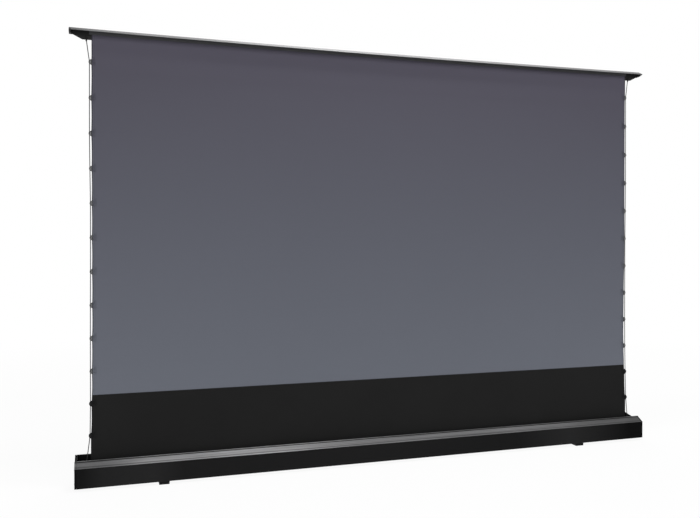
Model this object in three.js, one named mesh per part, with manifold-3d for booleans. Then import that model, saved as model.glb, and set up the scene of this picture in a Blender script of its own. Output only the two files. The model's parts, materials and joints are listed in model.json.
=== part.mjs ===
// Floor-rising projection screen, raised: a slim case on two feet, a roller, a fabric with side tabs
// and tension cords, and a top bar that two folding arms lift. Millimetres, +Z up, +X to the viewer's
// right, fabric facing -Y. Heights are above the floor; depths are from the fabric's plane.
import * as THREE from "three";
import { mergeVertices } from "three/addons/utils/BufferGeometryUtils.js";
import Module from "manifold-3d";

const wasm = await Module();
wasm.setup();

// Fits
const touchGap = 0.3; // between pieces that touch, and round a pin in its bore
const openPivotGap = 0.6; // round the pin of the one pivot that is left open
const cutOverrun = 5; // how far a cutting tool reaches past what it cuts
const mergeReach = 1e-3;

// Fabric
const pictureWidth = 2214;
const pictureHeight = 1259;
const seamHeight = 325; // where the picture meets the black drop
const fabricThickness = 0.4;
const clampedHeight = 12; // fabric held inside the top bar

// Tabs and tension cords
const tabCount = 12;
const firstTabDrop = 90.5; // highest tab below the picture's top edge
const firstTabPitch = 125.5;
const lastTabPitch = 113;
const tabRadius = 8;
const tabReach = 10; // tab's outer end beyond the fabric's edge
const tabThickness = 5;
const hemWidth = 10;
const hemThickness = 0.6;
const hemOverlap = 1; // hem beyond the fabric's edge, where the tabs hold it
const cordDiameter = 3;
const cordOffset = 6.3; // cord beyond the fabric's edge, along the tabs
const cordTopOffset = 17; // cord beyond the fabric's edge, at the top bar
const cordSpoolOffset = 27; // cord beyond the fabric's edge, at the roller
const cordSides = 8;

// Case
const caseOverhang = 61; // case end beyond the fabric's edge
const caseFront = 54;
const caseRear = 73;
const caseWall = 2;
const footHeight = 12; // underside of the case
const baseThickness = 2.5;
const frontTop = 81;
const crestTop = 100;
const crestSetback = 32;
const crestWidth = 2.5;
const crestLipHeight = 10;
const tongueHeight = 7;
const rearTop = 100;
const rearLip = 6;
const ledgeDepth = 6;
const capThickness = 6;
const notchFront = 5; // notch in the end caps, where the hanger rail's ends come down
const notchRear = 19;
const notchFloor = 90.5;
const grooveCount = 8;
const grooveWidth = 0.9;
const grooveDepth = 0.5;

// Top bar
const holderHeight = 20; // picture's top edge to the top of the lid, at the middle
const barBow = 4.8; // how much higher the top bar stands at its ends than at its middle
const lidThickness = 3;
const lidFrontEdge = 2;
const lidRear = 72;
const skirtHeight = 6;
const skirtThickness = 2;
const trimReach = 27;
const trimDrop = 13;
const trimLip = 0.6;
const trimLipWidth = 1.8;
const trimThickness = 2.5;
const trimGrooveCount = 4;
const lidEndOffset = 73; // end of the top bar beyond the fabric's edge
const lidCapThickness = 6;
const lidCapDrop = 20;
const lidCapLowFront = 6;
const lidCapLowRear = 12;
const railThickness = 3;
const railHeight = 38; // hanger rail's lower edge below the top of the lid
const railFlange = 7.5;
const railFoot = 29; // straight lower edge beyond the fabric's edge
const railShoulder = 60; // end of the slant beyond the fabric's edge
const railShoulderDrop = 23;
const clampThickness = 2.7;
const clampOverhang = 6;
const anchorWidth = 10;
const anchorDepth = 3.5;

// Roller and motor
const rollerHeight = 42;
const tubeRadius = 19.5;
const tubeWall = 1.8;
const tubeOverhang = 35; // roller tube beyond the fabric's edge
const wrapRadius = 21.8; // last turns of fabric that stay on the tube
const spoolWidth = 16;
const spoolFlange = 25;
const spoolFlangeWidth = 1.5;
const motorRadius = 16.5;
const motorLength = 522;
const motorHeadRadius = 19;
const motorHeadLength = 7;
const motorShaftRadius = 6;
const motorShaftLength = 24;
const driveWheelWidth = 18;
const driveWheelInset = 3;
const idlerPlugLength = 30;
const idlerPlugInset = 2;
const idlerPinRadius = 5;
const idlerHeadWidth = 3;
const bracketThickness = 3;
const bracketFlange = 10;
const bracketWidth = 38;
const bracketTop = 62;

// Folding arms
const raisedAngle = THREE.MathUtils.degToRad(76);
const foldedAngle = THREE.MathUtils.degToRad(1.5);
const basePivotHeight = 34;
const topPivotDrop = 37.6; // top pivot below the top of the lid, at the middle
const kneeSpacing = 140.6; // between the two knees when the arms are folded
const armRadius = 13;
const upperArmFront = 12;
const upperArmRear = 26;
const lowerArmFront = 29;
const lowerArmRear = 43;
const kneeBossRadius = 11;
const pinRadius = 5;
const pinHeadRadius = 8;
const pinHeadWidth = 2;
const channelWall = 3;
const channelEndShare = 0.07;
const springSeatShare = 0.6; // where the gas spring's channel ends along the lower arm
const springRadius = 5.5;
const springRodRadius = 2.5;
const springBodyShare = 0.6;
const earThickness = 2;
const earRadius = 12;
const pivotFlangeLength = 40;
const pivotFlangeThickness = 2.7;

// Feet
const footWidth = 38;
const footTaper = 1.2;
const footFront = 48;
const footRear = 130;
const footShift = -5.5; // feet's pivots from the arms' pivots
const soleThickness = 2;
const rivetRadius = 5;
const rivetHeadRadius = 9;
const rivetHeadHeight = 2.4;
const rivetCollarRadius = 8;
const rivetCollarHeight = 3;

// Rear connector plate, at the right end
const plateFromEnd = 68; // centre of the plate from the end of the case
const plateWidth = 100;
const plateHeight = 42;
const plateThickness = 1.5;
const plateLevel = 53;
const plateRim = 4;
const inletOffset = -28;
const inletWidth = 27;
const inletHeight = 20;
const inletDepth = 25;
const inletRim = 3;
const inletFlange = 2;
const inletWall = 1.6;
const inletCorner = 4;
const socketDepth = 20;
const bladeLength = 14;
const bladeWidth = 2;
const bladeHeight = 4;
const bladeSpacing = 7;
const switchOffset = 4;
const switchWidth = 21;
const switchHeight = 15;
const switchDepth = 17;
const switchWall = 1.3;
const switchPocket = 12;
const rockerTravel = THREE.MathUtils.degToRad(14);
const rockerReach = 5;
const rockerHeight = 9.4;
const rockerDepth = 6;
const rockerDish = 1.2;
const buttonOffset = 24;
const buttonRadius = 3.6;
const buttonFit = 0.4;
const buttonReach = 3.5;
const buttonLength = 16;
const jackOffset = 38;
const jackRadius = 3.2;
const jackBore = 1.75;
const jackFlangeRadius = 5;
const jackLength = 14;

// Control board and motor lead
const boardWidth = 86;
const boardDepth = 40;
const boardFront = 8;
const boardThickness = 1.6;
const standoffHeight = 4;
const standoffSize = 6;
const reliefSize = 3;
const relayWidth = 18;
const relayDepth = 15;
const relayHeight = 14;
const transformerWidth = 30;
const transformerDepth = 26;
const transformerHeight = 20;
const terminalWidth = 12;
const terminalDepth = 28;
const terminalHeight = 9;
const leadRadius = 2;
// The lead's way from the motor's head over the roller's rear to the terminal block, from its start
const leadRoute = [
  [0, 0, 0],
  [0, 1.1, 5.7],
  [0, 4.4, 10.6],
  [-0.2, 9.3, 13.9],
  [-0.6, 15, 15],
  [-1.2, 20.7, 13.9],
  [-2, 25.6, 10.6],
  [-4.4, 34.1, 2.1],
  [-7.2, 42.6, -6.4],
  [-9.2, 46.1, -11.6],
  [-10.6, 47.3, -17.7],
  [-11.4, 47.3, -24.7],
  [-11.8, 47.3, -31.6],
];

// Facets
const pinSides = 16;
const tubeSides = 32;
const arcSteps = 8;
const tabArcSteps = 4;
const leadSteps = 30;
const barSteps = 16;

// Places that follow from the sizes
const halfPicture = pictureWidth / 2;
const halfCase = halfPicture + caseOverhang;
const halfShell = halfCase - capThickness - touchGap;
const halfLid = halfPicture + lidEndOffset;
const halfLidShell = halfLid - lidCapThickness - touchGap;
const pictureTop = seamHeight + pictureHeight;
const lidTop = pictureTop + holderHeight;
const lidUnderside = lidTop - lidThickness;
const railLow = lidTop - railHeight;
const fabricFace = fabricThickness / 2;
const hemFront = fabricFace + touchGap;
const clampFace = fabricFace + touchGap;
const baseTop = footHeight + baseThickness;
const seat = baseTop + touchGap;
const ledgeTop = seat + caseWall;
const slopeFoot = frontTop + touchGap;
const slope = (crestTop - slopeFoot) / crestSetback;
const rollerDepth = -(wrapRadius + touchGap + fabricFace);
const halfTube = halfPicture + tubeOverhang;
const cordRadius = cordDiameter / 2;
const topPivotHeight = lidTop - topPivotDrop;
const armLength = (topPivotHeight - basePivotHeight) / (2 * Math.sin(raisedAngle));
const pivotX = armLength * Math.cos(foldedAngle) + kneeSpacing / 2;
const footPivotY = (caseRear - caseFront) / 2;
const pinBore = pinRadius + touchGap;
const rivetBore = rivetRadius + touchGap;
const plateX = halfCase - plateFromEnd;
const plateFace = caseRear + touchGap + plateThickness;
const fittingFace = plateFace + touchGap;
const plateHalf = [plateWidth / 2, plateHeight / 2];

function finish(color, roughness, metalness) {
  return new THREE.MeshStandardMaterial({ color, roughness, metalness });
}
const blackShell = finish(0x1c1c1e, 0.5, 0.3);
const brushedSilver = finish(0x9a9a9c, 0.35, 0.9);
const blackPlastic = finish(0x151516, 0.6, 0);
const greyFabric = finish(0x62626c, 0.9, 0);
const blackFabric = finish(0x1f1f20, 0.95, 0);
const cordPolyester = finish(0x2a2a2a, 0.9, 0);
const zincSteel = finish(0xa5a8aa, 0.4, 0.9);
const armAluminium = finish(0x1f2022, 0.45, 0.6);
const bareAluminium = finish(0xb4b6b8, 0.4, 0.9);
const motorWhite = finish(0xd2d2d0, 0.5, 0.1);
const boardGreen = finish(0x1f5a38, 0.6, 0);
const soleRubber = finish(0x101010, 0.95, 0);

function outline(points) {
  return new THREE.Shape(points.map(([a, b]) => new THREE.Vector2(a, b)));
}

// A shape in (Y, Z) swept along X from low to high
function alongX(shape, low, high, curveSegments = arcSteps, steps = 1) {
  const swept = new THREE.ExtrudeGeometry(shape, {
    depth: high - low,
    steps,
    bevelEnabled: false,
    curveSegments,
  });
  const axes = new THREE.Matrix4().makeBasis(
    new THREE.Vector3(0, 1, 0),
    new THREE.Vector3(0, 0, 1),
    new THREE.Vector3(1, 0, 0),
  );
  return swept.applyMatrix4(axes).translate(low, 0, 0);
}

// How far the top bar's bow lifts it at a place along X
function barRise(x) {
  return barBow * (x / halfLid) ** 2;
}

// A shape in (Y, Z) swept along X and bowed with the top bar
function alongBar(shape, low, high, steps = barSteps) {
  const swept = alongX(shape, low, high, arcSteps, steps);
  const place = swept.attributes.position;
  for (let i = 0; i < place.count; i += 1) {
    place.setZ(i, place.getZ(i) + barRise(place.getX(i)));
  }
  swept.computeVertexNormals();
  return swept;
}

// A shape in (X, Z) swept along Y from low to high
function alongY(shape, low, high, curveSegments = arcSteps) {
  const swept = new THREE.ExtrudeGeometry(shape, {
    depth: high - low,
    bevelEnabled: false,
    curveSegments,
  });
  return swept.rotateX(Math.PI / 2).translate(0, high, 0);
}

// A shape in (X, Y) swept along Z from low to high
function alongZ(shape, low, high, curveSegments = arcSteps) {
  const swept = new THREE.ExtrudeGeometry(shape, {
    depth: high - low,
    bevelEnabled: false,
    curveSegments,
  });
  return swept.translate(0, 0, low);
}

function block([x0, x1], [y0, y1], [z0, z1]) {
  const box = new THREE.BoxGeometry(x1 - x0, y1 - y0, z1 - z0);
  return box.translate((x0 + x1) / 2, (y0 + y1) / 2, (z0 + z1) / 2);
}

// A profile of [radius, place along the axis] points turned about an axis through a centre
function turned(axis, profile, [x, y, z], sides = pinSides) {
  const lathe = new THREE.LatheGeometry(
    profile.map(([r, h]) => new THREE.Vector2(r, h)),
    sides,
  );
  if (axis === "x") lathe.rotateZ(-Math.PI / 2);
  if (axis === "z") lathe.rotateX(Math.PI / 2);
  return lathe.translate(x, y, z);
}

function solidBar(radius, low, high) {
  return [
    [0, low],
    [radius, low],
    [radius, high],
    [0, high],
  ];
}

function sleeve(inner, outer, low, high) {
  return [
    [inner, low],
    [outer, low],
    [outer, high],
    [inner, high],
    [inner, low],
  ];
}

// A pin with a head at one end or at both, as a profile
function headedPin(radius, headRadius, headWidth, low, high, heads) {
  const profile = [[0, low]];
  if (heads.low) {
    profile.push([headRadius, low], [headRadius, low + headWidth], [radius, low + headWidth]);
  } else {
    profile.push([radius, low]);
  }
  if (heads.high) {
    profile.push([radius, high - headWidth], [headRadius, high - headWidth], [headRadius, high]);
  } else {
    profile.push([radius, high]);
  }
  profile.push([0, high]);
  return profile;
}

function asSolid(geometry) {
  const bare = geometry.clone();
  bare.deleteAttribute("normal");
  bare.deleteAttribute("uv");
  const merged = mergeVertices(bare, mergeReach);
  return new wasm.Manifold(
    new wasm.Mesh({
      numProp: 3,
      vertProperties: merged.attributes.position.array,
      triVerts: new Uint32Array(merged.index.array),
    }),
  );
}

function asGeometry(solid) {
  const mesh = solid.getMesh();
  const geometry = new THREE.BufferGeometry();
  geometry.setAttribute("position", new THREE.BufferAttribute(mesh.vertProperties, 3));
  geometry.setIndex(new THREE.BufferAttribute(mesh.triVerts, 1));
  const faceted = geometry.toNonIndexed();
  faceted.computeVertexNormals();
  return faceted;
}

function joined(...geometries) {
  return asGeometry(geometries.map(asSolid).reduce((all, one) => all.add(one)));
}

function cut(geometry, ...tools) {
  return asGeometry(tools.map(asSolid).reduce((left, tool) => left.subtract(tool), asSolid(geometry)));
}

function circle(x, y, radius) {
  return new THREE.Path().absarc(x, y, radius, 0, 2 * Math.PI, true);
}

const screen = new THREE.Group();

function add(name, geometry, material, parent = screen) {
  const mesh = new THREE.Mesh(geometry, material);
  mesh.name = name;
  parent.add(mesh);
  return mesh;
}

// Points of a straight edge from one point to another with even V grooves cut to its right
function groovedEdge([y0, z0], [y1, z1], count) {
  const length = Math.hypot(y1 - y0, z1 - z0);
  const along = [(y1 - y0) / length, (z1 - z0) / length];
  const inward = [along[1], -along[0]];
  const points = [[y0, z0]];
  for (let i = 1; i <= count; i += 1) {
    const middle = (length * i) / (count + 1);
    for (const [shift, depth] of [
      [-grooveWidth / 2, 0],
      [0, grooveDepth],
      [grooveWidth / 2, 0],
    ]) {
      const place = middle + shift;
      points.push([
        y0 + along[0] * place + inward[0] * depth,
        z0 + along[1] * place + inward[1] * depth,
      ]);
    }
  }
  points.push([y1, z1]);
  return points;
}

function addFrontPanel() {
  const outer = -caseFront;
  const inner = outer + caseWall;
  const shape = outline([
    [outer, footHeight],
    [outer, frontTop],
    [inner, frontTop],
    [inner, ledgeTop],
    [inner + ledgeDepth, ledgeTop],
    [inner + ledgeDepth, seat],
    [inner, seat],
    [inner, footHeight],
  ]);
  add("front_panel", alongX(shape, -halfShell, halfShell), blackShell);
}

function addSlopeTrim() {
  const outer = -caseFront;
  const crest = outer + crestSetback;
  const tongueFront = outer + caseWall + touchGap;
  const tongueRear = tongueFront + caseWall;
  const lipRear = crest + crestWidth;
  const lipFront = lipRear - caseWall;
  const wallDrop = caseWall * Math.hypot(1, slope);
  const underSlope = (y) => slopeFoot + slope * (y - outer) - wallDrop;
  const shape = outline([
    ...groovedEdge([outer, slopeFoot], [crest, crestTop], grooveCount),
    [lipRear, crestTop],
    [lipRear, crestTop - crestLipHeight],
    [lipFront, crestTop - crestLipHeight],
    [lipFront, underSlope(lipFront)],
    [tongueRear, underSlope(tongueRear)],
    [tongueRear, slopeFoot - tongueHeight],
    [tongueFront, slopeFoot - tongueHeight],
    [tongueFront, slopeFoot],
  ]);
  add("slope_trim", alongX(shape, -halfShell, halfShell), brushedSilver);
}

function addBasePlate() {
  const front = -caseFront + caseWall + touchGap;
  const rear = caseRear - caseWall - touchGap;
  const shape = outline([
    [-halfShell, front],
    [halfShell, front],
    [halfShell, rear],
    [-halfShell, rear],
  ]);
  for (const side of [-1, 1]) {
    shape.holes.push(circle(side * pivotX + footShift, footPivotY, rivetBore));
  }
  add("base_plate", alongZ(shape, footHeight, baseTop), blackShell);
}

function addRearCover() {
  const inner = caseRear - caseWall;
  const lipFront = caseRear - rearLip;
  const shape = outline([
    [caseRear, footHeight],
    [caseRear, rearTop],
    [lipFront, rearTop],
    [lipFront, rearTop - caseWall],
    [inner, rearTop - caseWall],
    [inner, ledgeTop],
    [inner - ledgeDepth, ledgeTop],
    [inner - ledgeDepth, seat],
    [inner, seat],
    [inner, footHeight],
  ]);
  const windowHalf = plateHalf.map((half) => half - plateRim);
  const opening = block(
    [plateX - windowHalf[0], plateX + windowHalf[0]],
    [inner - cutOverrun, caseRear + cutOverrun],
    [plateLevel - windowHalf[1], plateLevel + windowHalf[1]],
  );
  add("rear_cover", cut(alongX(shape, -halfShell, halfShell), opening), blackShell);
}

function addEndCaps() {
  const crest = -caseFront + crestSetback;
  const shape = outline([
    [-caseFront, footHeight],
    [-caseFront, slopeFoot],
    [crest, crestTop],
    [crest + crestWidth, crestTop],
    [-notchFront, notchFloor],
    [notchRear, notchFloor],
    [caseRear - rearLip, rearTop],
    [caseRear, rearTop],
    [caseRear, footHeight],
  ]);
  const inner = halfCase - capThickness;
  add("left_end_cap", alongX(shape, -halfCase, -inner), blackPlastic);
  add("right_end_cap", alongX(shape, inner, halfCase), blackPlastic);
}

function addFoot(name, x) {
  const half = footWidth / 2;
  const barLow = soleThickness + touchGap;
  const barHigh = footHeight - touchGap;
  const halfAt = (z) => half - footTaper * (1 - z / footHeight);
  const bar = outline([
    [x - halfAt(barLow), barLow],
    [x + halfAt(barLow), barLow],
    [x + halfAt(barHigh), barHigh],
    [x - halfAt(barHigh), barHigh],
  ]);
  const sole = outline([
    [x - halfAt(0), 0],
    [x + halfAt(0), 0],
    [x + halfAt(soleThickness), soleThickness],
    [x - halfAt(soleThickness), soleThickness],
  ]);
  const headTop = barLow + touchGap + rivetHeadHeight;
  const centre = [x, footPivotY, 0];
  const bore = turned("z", solidBar(rivetBore, -cutOverrun, footHeight + cutOverrun), centre);
  const counterbore = turned(
    "z",
    solidBar(rivetHeadRadius + touchGap, -cutOverrun, headTop + touchGap),
    centre,
    tubeSides,
  );
  const profile = [
    [0, barLow + touchGap],
    [rivetHeadRadius, barLow + touchGap],
    [rivetHeadRadius, headTop],
    [rivetRadius, headTop],
    [rivetRadius, seat],
    [rivetCollarRadius, seat],
    [rivetCollarRadius, seat + rivetCollarHeight],
    [0, seat + rivetCollarHeight],
  ];
  add(`${name}_foot`, cut(alongY(bar, -footFront, footRear), bore, counterbore), blackShell);
  add(`${name}_foot_sole`, alongY(sole, -footFront, footRear), soleRubber);
  add(`${name}_foot_rivet`, turned("z", profile, centre), zincSteel);
}

// Heights of the tabs, from the highest down, with evenly shrinking steps
function tabHeights() {
  const heights = [pictureTop - firstTabDrop];
  for (let i = 1; i < tabCount; i += 1) {
    const share = (i - 1) / (tabCount - 2);
    const pitch = firstTabPitch + (lastTabPitch - firstTabPitch) * share;
    heights.push(heights[i - 1] - pitch);
  }
  return heights;
}

function addFabric() {
  const across = [-halfPicture, halfPicture];
  const through = [-fabricFace, fabricFace];
  const picture = block(across, through, [seamHeight, pictureTop + clampedHeight]);
  const drop = block(across, through, [rollerHeight, seamHeight - touchGap]);
  add("picture_fabric", picture, greyFabric);
  add("black_drop", drop, blackFabric);
}

// A side hem behind the fabric's edge with its tabs, each bored for the cord
function addTabStrip(name, side) {
  const edge = side * halfPicture;
  const band = [edge - side * hemWidth, edge + side * hemOverlap].sort((a, b) => a - b);
  const hemTop = railLow + barRise(halfPicture - hemWidth) - touchGap;
  const hem = block(band, [hemFront, hemFront + hemThickness], [rollerHeight, hemTop]);
  const tabs = [];
  const bores = [];
  for (const height of tabHeights()) {
    const shape = new THREE.Shape();
    const centre = tabReach - tabRadius;
    shape.moveTo(touchGap, height - tabRadius);
    shape.absarc(centre, height, tabRadius, -Math.PI / 2, Math.PI / 2, false);
    shape.lineTo(touchGap, height + tabRadius);
    const tab = alongY(shape, -tabThickness / 2, tabThickness / 2, tabArcSteps);
    tabs.push(side > 0 ? tab.translate(edge, 0, 0) : tab.rotateZ(Math.PI).translate(edge, 0, 0));
    const reach = tabRadius + cutOverrun;
    const boreRadius = cordRadius + touchGap;
    const place = [edge + side * cordOffset, 0, height];
    bores.push(turned("z", solidBar(boreRadius, -reach, reach), place, cordSides));
  }
  add(`${name}_tab_strip`, cut(joined(hem, ...tabs), ...bores), blackFabric);
}

function addCord(name, side) {
  const heights = tabHeights();
  const at = (offset, z) => new THREE.Vector3(side * (halfPicture + offset), 0, z);
  const clear = tabRadius + touchGap;
  const anchorLow = railLow + barRise(halfPicture + cordTopOffset);
  const points = [
    at(cordTopOffset, anchorLow - touchGap),
    at(cordOffset, heights[0] + clear),
    at(cordOffset, heights[tabCount - 1] - clear),
    at(cordSpoolOffset, rollerHeight),
  ];
  add(`${name}_tension_cord`, cordTube(points), cordPolyester);
}

// A round cord through straight runs: one ring at each point, square to the Z axis
function cordTube(points) {
  const positions = [];
  const index = [];
  const ringStart = (i) => i * cordSides;
  points.forEach((point) => {
    for (let k = 0; k < cordSides; k += 1) {
      const turn = (2 * Math.PI * k) / cordSides;
      positions.push(point.x + cordRadius * Math.cos(turn));
      positions.push(point.y + cordRadius * Math.sin(turn));
      positions.push(point.z);
    }
  });
  for (let i = 1; i < points.length; i += 1) {
    for (let k = 0; k < cordSides; k += 1) {
      const next = (k + 1) % cordSides;
      const [a, b] = [ringStart(i - 1) + k, ringStart(i - 1) + next];
      const [c, d] = [ringStart(i) + k, ringStart(i) + next];
      index.push(a, c, b, b, c, d);
    }
  }
  const last = ringStart(points.length - 1);
  for (let k = 1; k < cordSides - 1; k += 1) {
    index.push(0, k, k + 1);
    index.push(last, last + k + 1, last + k);
  }
  const geometry = new THREE.BufferGeometry();
  geometry.setAttribute("position", new THREE.Float32BufferAttribute(positions, 3));
  geometry.setIndex(index);
  geometry.computeVertexNormals();
  return geometry;
}

function addRoller() {
  const axis = [0, rollerDepth, rollerHeight];
  const boreRadius = tubeRadius - tubeWall;
  const tube = sleeve(boreRadius, tubeRadius, -halfTube, halfTube);
  const wraps = sleeve(tubeRadius + touchGap, wrapRadius, -halfPicture, halfPicture);
  add("roller_tube", turned("x", tube, axis, tubeSides), bareAluminium);
  add("fabric_wraps", turned("x", wraps, axis, tubeSides), blackFabric);

  const hub = -rollerDepth - cordRadius - touchGap;
  const half = spoolWidth / 2;
  const inner = half - spoolFlangeWidth;
  const spool = [
    [tubeRadius + touchGap, -half],
    [spoolFlange, -half],
    [spoolFlange, -inner],
    [hub, -inner],
    [hub, inner],
    [spoolFlange, inner],
    [spoolFlange, half],
    [tubeRadius + touchGap, half],
    [tubeRadius + touchGap, -half],
  ];
  const spoolX = halfPicture + cordSpoolOffset;
  for (const [name, side] of [
    ["left", -1],
    ["right", 1],
  ]) {
    const place = [side * spoolX, rollerDepth, rollerHeight];
    add(`${name}_cord_spool`, turned("x", spool, place, tubeSides), blackPlastic);
  }

  const plugOuter = -halfTube + idlerPlugInset;
  const plug = sleeve(
    idlerPinRadius + touchGap,
    boreRadius - touchGap,
    plugOuter,
    plugOuter + idlerPlugLength,
  );
  add("idler_plug", turned("x", plug, axis, tubeSides), blackPlastic);

  const motorInner = halfTube + touchGap - motorLength;
  const wheelInner = motorInner - driveWheelInset - driveWheelWidth;
  const wheel = sleeve(
    motorShaftRadius + touchGap,
    boreRadius - touchGap,
    wheelInner,
    wheelInner + driveWheelWidth,
  );
  add("drive_wheel", turned("x", wheel, axis, tubeSides), blackPlastic);
}

function addMotor() {
  const axis = [0, rollerDepth, rollerHeight];
  const headInner = halfTube + touchGap;
  const motorInner = headInner - motorLength;
  const profile = [
    [0, motorInner - motorShaftLength],
    [motorShaftRadius, motorInner - motorShaftLength],
    [motorShaftRadius, motorInner],
    [motorRadius, motorInner],
    [motorRadius, headInner],
    [motorHeadRadius, headInner],
    [motorHeadRadius, headInner + motorHeadLength],
    [0, headInner + motorHeadLength],
  ];
  add("tubular_motor", turned("x", profile, axis, tubeSides), motorWhite);
}

// An angle bracket that stands on the base plate at a roller end, its flange pointing outwards
function rollerBracket(side) {
  const face = halfTube + 2 * touchGap + motorHeadLength;
  const outer = face + bracketThickness;
  const shape = outline(
    [
      [face, seat],
      [outer + bracketFlange - bracketThickness, seat],
      [outer + bracketFlange - bracketThickness, seat + bracketThickness],
      [outer, seat + bracketThickness],
      [outer, bracketTop],
      [face, bracketTop],
    ].map(([x, z]) => [side * x, z]),
  );
  return alongY(shape, rollerDepth - bracketWidth / 2, rollerDepth + bracketWidth / 2);
}

function addRollerBrackets() {
  const face = halfTube + 2 * touchGap + motorHeadLength;
  const axis = [0, rollerDepth, rollerHeight];
  const bore = turned(
    "x",
    solidBar(idlerPinRadius + touchGap, -halfCase, -face + cutOverrun),
    axis,
  );
  add("motor_bracket", rollerBracket(1), zincSteel);
  add("idler_bracket", cut(rollerBracket(-1), bore), zincSteel);

  const headInner = -(face + bracketThickness + touchGap);
  const tip = -halfTube + idlerPlugInset + idlerPlugLength;
  const profile = headedPin(
    idlerPinRadius,
    pinHeadRadius,
    idlerHeadWidth,
    headInner - idlerHeadWidth,
    tip,
    { low: true, high: false },
  );
  add("idler_pin", turned("x", profile, axis), zincSteel);
}

// One arm about its own pivot, reaching armLength along X, bored at both ends
function armBar(front, rear, farBore) {
  const shape = new THREE.Shape();
  shape.absarc(0, 0, armRadius, Math.PI / 2, (3 * Math.PI) / 2, false);
  shape.absarc(armLength, 0, armRadius, -Math.PI / 2, Math.PI / 2, false);
  shape.holes.push(circle(0, 0, pinBore), circle(armLength, 0, farBore));
  return alongY(shape, front, rear);
}

// A channel in an arm's rear face, between two shares of its length
function armChannel(front, rear, fromShare, toShare) {
  const half = armRadius - channelWall;
  return block(
    [armLength * fromShare, armLength * toShare],
    [front + channelWall, rear + cutOverrun],
    [-half, half],
  );
}

function addFoldingArm(name, side) {
  const lean = side < 0 ? raisedAngle : Math.PI - raisedAngle;
  const lower = new THREE.Group();
  lower.position.set(side * pivotX, 0, basePivotHeight);
  lower.rotation.y = -lean;
  screen.add(lower);

  const boss = turned(
    "y",
    sleeve(pinBore, kneeBossRadius, upperArmRear + touchGap, lowerArmFront + channelWall),
    [armLength, 0, 0],
  );
  const bar = armBar(lowerArmFront, lowerArmRear, pinBore);
  const springChannel = armChannel(lowerArmFront, lowerArmRear, channelEndShare, springSeatShare);
  const kneeBore = turned(
    "y",
    solidBar(pinBore, lowerArmFront - cutOverrun, lowerArmRear + cutOverrun),
    [armLength, 0, 0],
  );
  add(`${name}_lower_arm`, cut(joined(bar, boss), springChannel, kneeBore), armAluminium, lower);

  const springFrom = armLength * channelEndShare + touchGap;
  const springTo = armLength * springSeatShare - touchGap;
  const shoulder = springFrom + (springTo - springFrom) * springBodyShare;
  const springY = lowerArmFront + channelWall + touchGap + springRadius;
  const spring = [
    [0, springFrom],
    [springRadius, springFrom],
    [springRadius, shoulder],
    [springRodRadius, shoulder],
    [springRodRadius, springTo],
    [0, springTo],
  ];
  add(`${name}_gas_spring`, turned("x", spring, [0, springY, 0]), zincSteel, lower);

  const upper = new THREE.Group();
  upper.position.set(armLength, 0, 0);
  upper.rotation.y = side * (Math.PI - 2 * raisedAngle);
  lower.add(upper);
  const topBore = side < 0 ? pinBore : pinRadius + openPivotGap;
  const upperBar = armBar(upperArmFront, upperArmRear, topBore);
  const upperChannel = armChannel(upperArmFront, upperArmRear, channelEndShare, 1 - channelEndShare);
  add(`${name}_upper_arm`, cut(upperBar, upperChannel), armAluminium, upper);

  const kneePin = headedPin(
    pinRadius,
    pinHeadRadius,
    pinHeadWidth,
    upperArmFront - touchGap - pinHeadWidth,
    lowerArmRear + touchGap + pinHeadWidth,
    { low: true, high: true },
  );
  add(`${name}_knee_pin`, turned("y", kneePin, [0, 0, 0]), zincSteel, upper);
}

// A fork for an arm's end: two ears round the pivot, on a flange at a seat above or below it
function fork(x, pivotZ, seatZ, front, rear) {
  const up = Math.sign(seatZ - pivotZ);
  const half = pivotFlangeLength / 2;
  const ear = (low, high) => {
    const shape = new THREE.Shape();
    shape.moveTo(x - up * earRadius, seatZ);
    shape.lineTo(x - up * earRadius, pivotZ);
    shape.absarc(x, pivotZ, earRadius, up > 0 ? Math.PI : 0, up > 0 ? 2 * Math.PI : Math.PI, false);
    shape.lineTo(x + up * earRadius, seatZ);
    shape.holes.push(circle(x, pivotZ, pinBore));
    return alongY(shape, low, high);
  };
  const inner = [front - touchGap, rear + touchGap];
  const levels = [seatZ, seatZ - up * pivotFlangeThickness].sort((a, b) => a - b);
  const flange = block([x - half, x + half], [inner[0] - earThickness, inner[1] + earThickness], levels);
  return joined(
    flange,
    ear(inner[0] - earThickness, inner[0]),
    ear(inner[1], inner[1] + earThickness),
  );
}

function addPivots(name, side) {
  const x = side * pivotX;
  const lidSeat = lidUnderside + barRise(pivotX - pivotFlangeLength / 2) - touchGap;
  const lowerPin = headedPin(
    pinRadius,
    pinHeadRadius,
    pinHeadWidth,
    lowerArmFront - touchGap - earThickness,
    lowerArmRear + 2 * touchGap + earThickness + pinHeadWidth,
    { low: false, high: true },
  );
  const upperPin = headedPin(
    pinRadius,
    pinHeadRadius,
    pinHeadWidth,
    upperArmFront - touchGap - earThickness,
    upperArmRear + 2 * touchGap + earThickness + pinHeadWidth,
    { low: false, high: true },
  );
  const baseFork = fork(x, basePivotHeight, seat, lowerArmFront, lowerArmRear);
  const topFork = fork(x, topPivotHeight, lidSeat, upperArmFront, upperArmRear);
  add(`${name}_base_bracket`, baseFork, zincSteel);
  add(`${name}_base_pin`, turned("y", lowerPin, [x, 0, basePivotHeight]), zincSteel);
  add(`${name}_top_bracket`, topFork, zincSteel);
  add(`${name}_top_pin`, turned("y", upperPin, [x, 0, topPivotHeight]), zincSteel);
}

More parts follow.
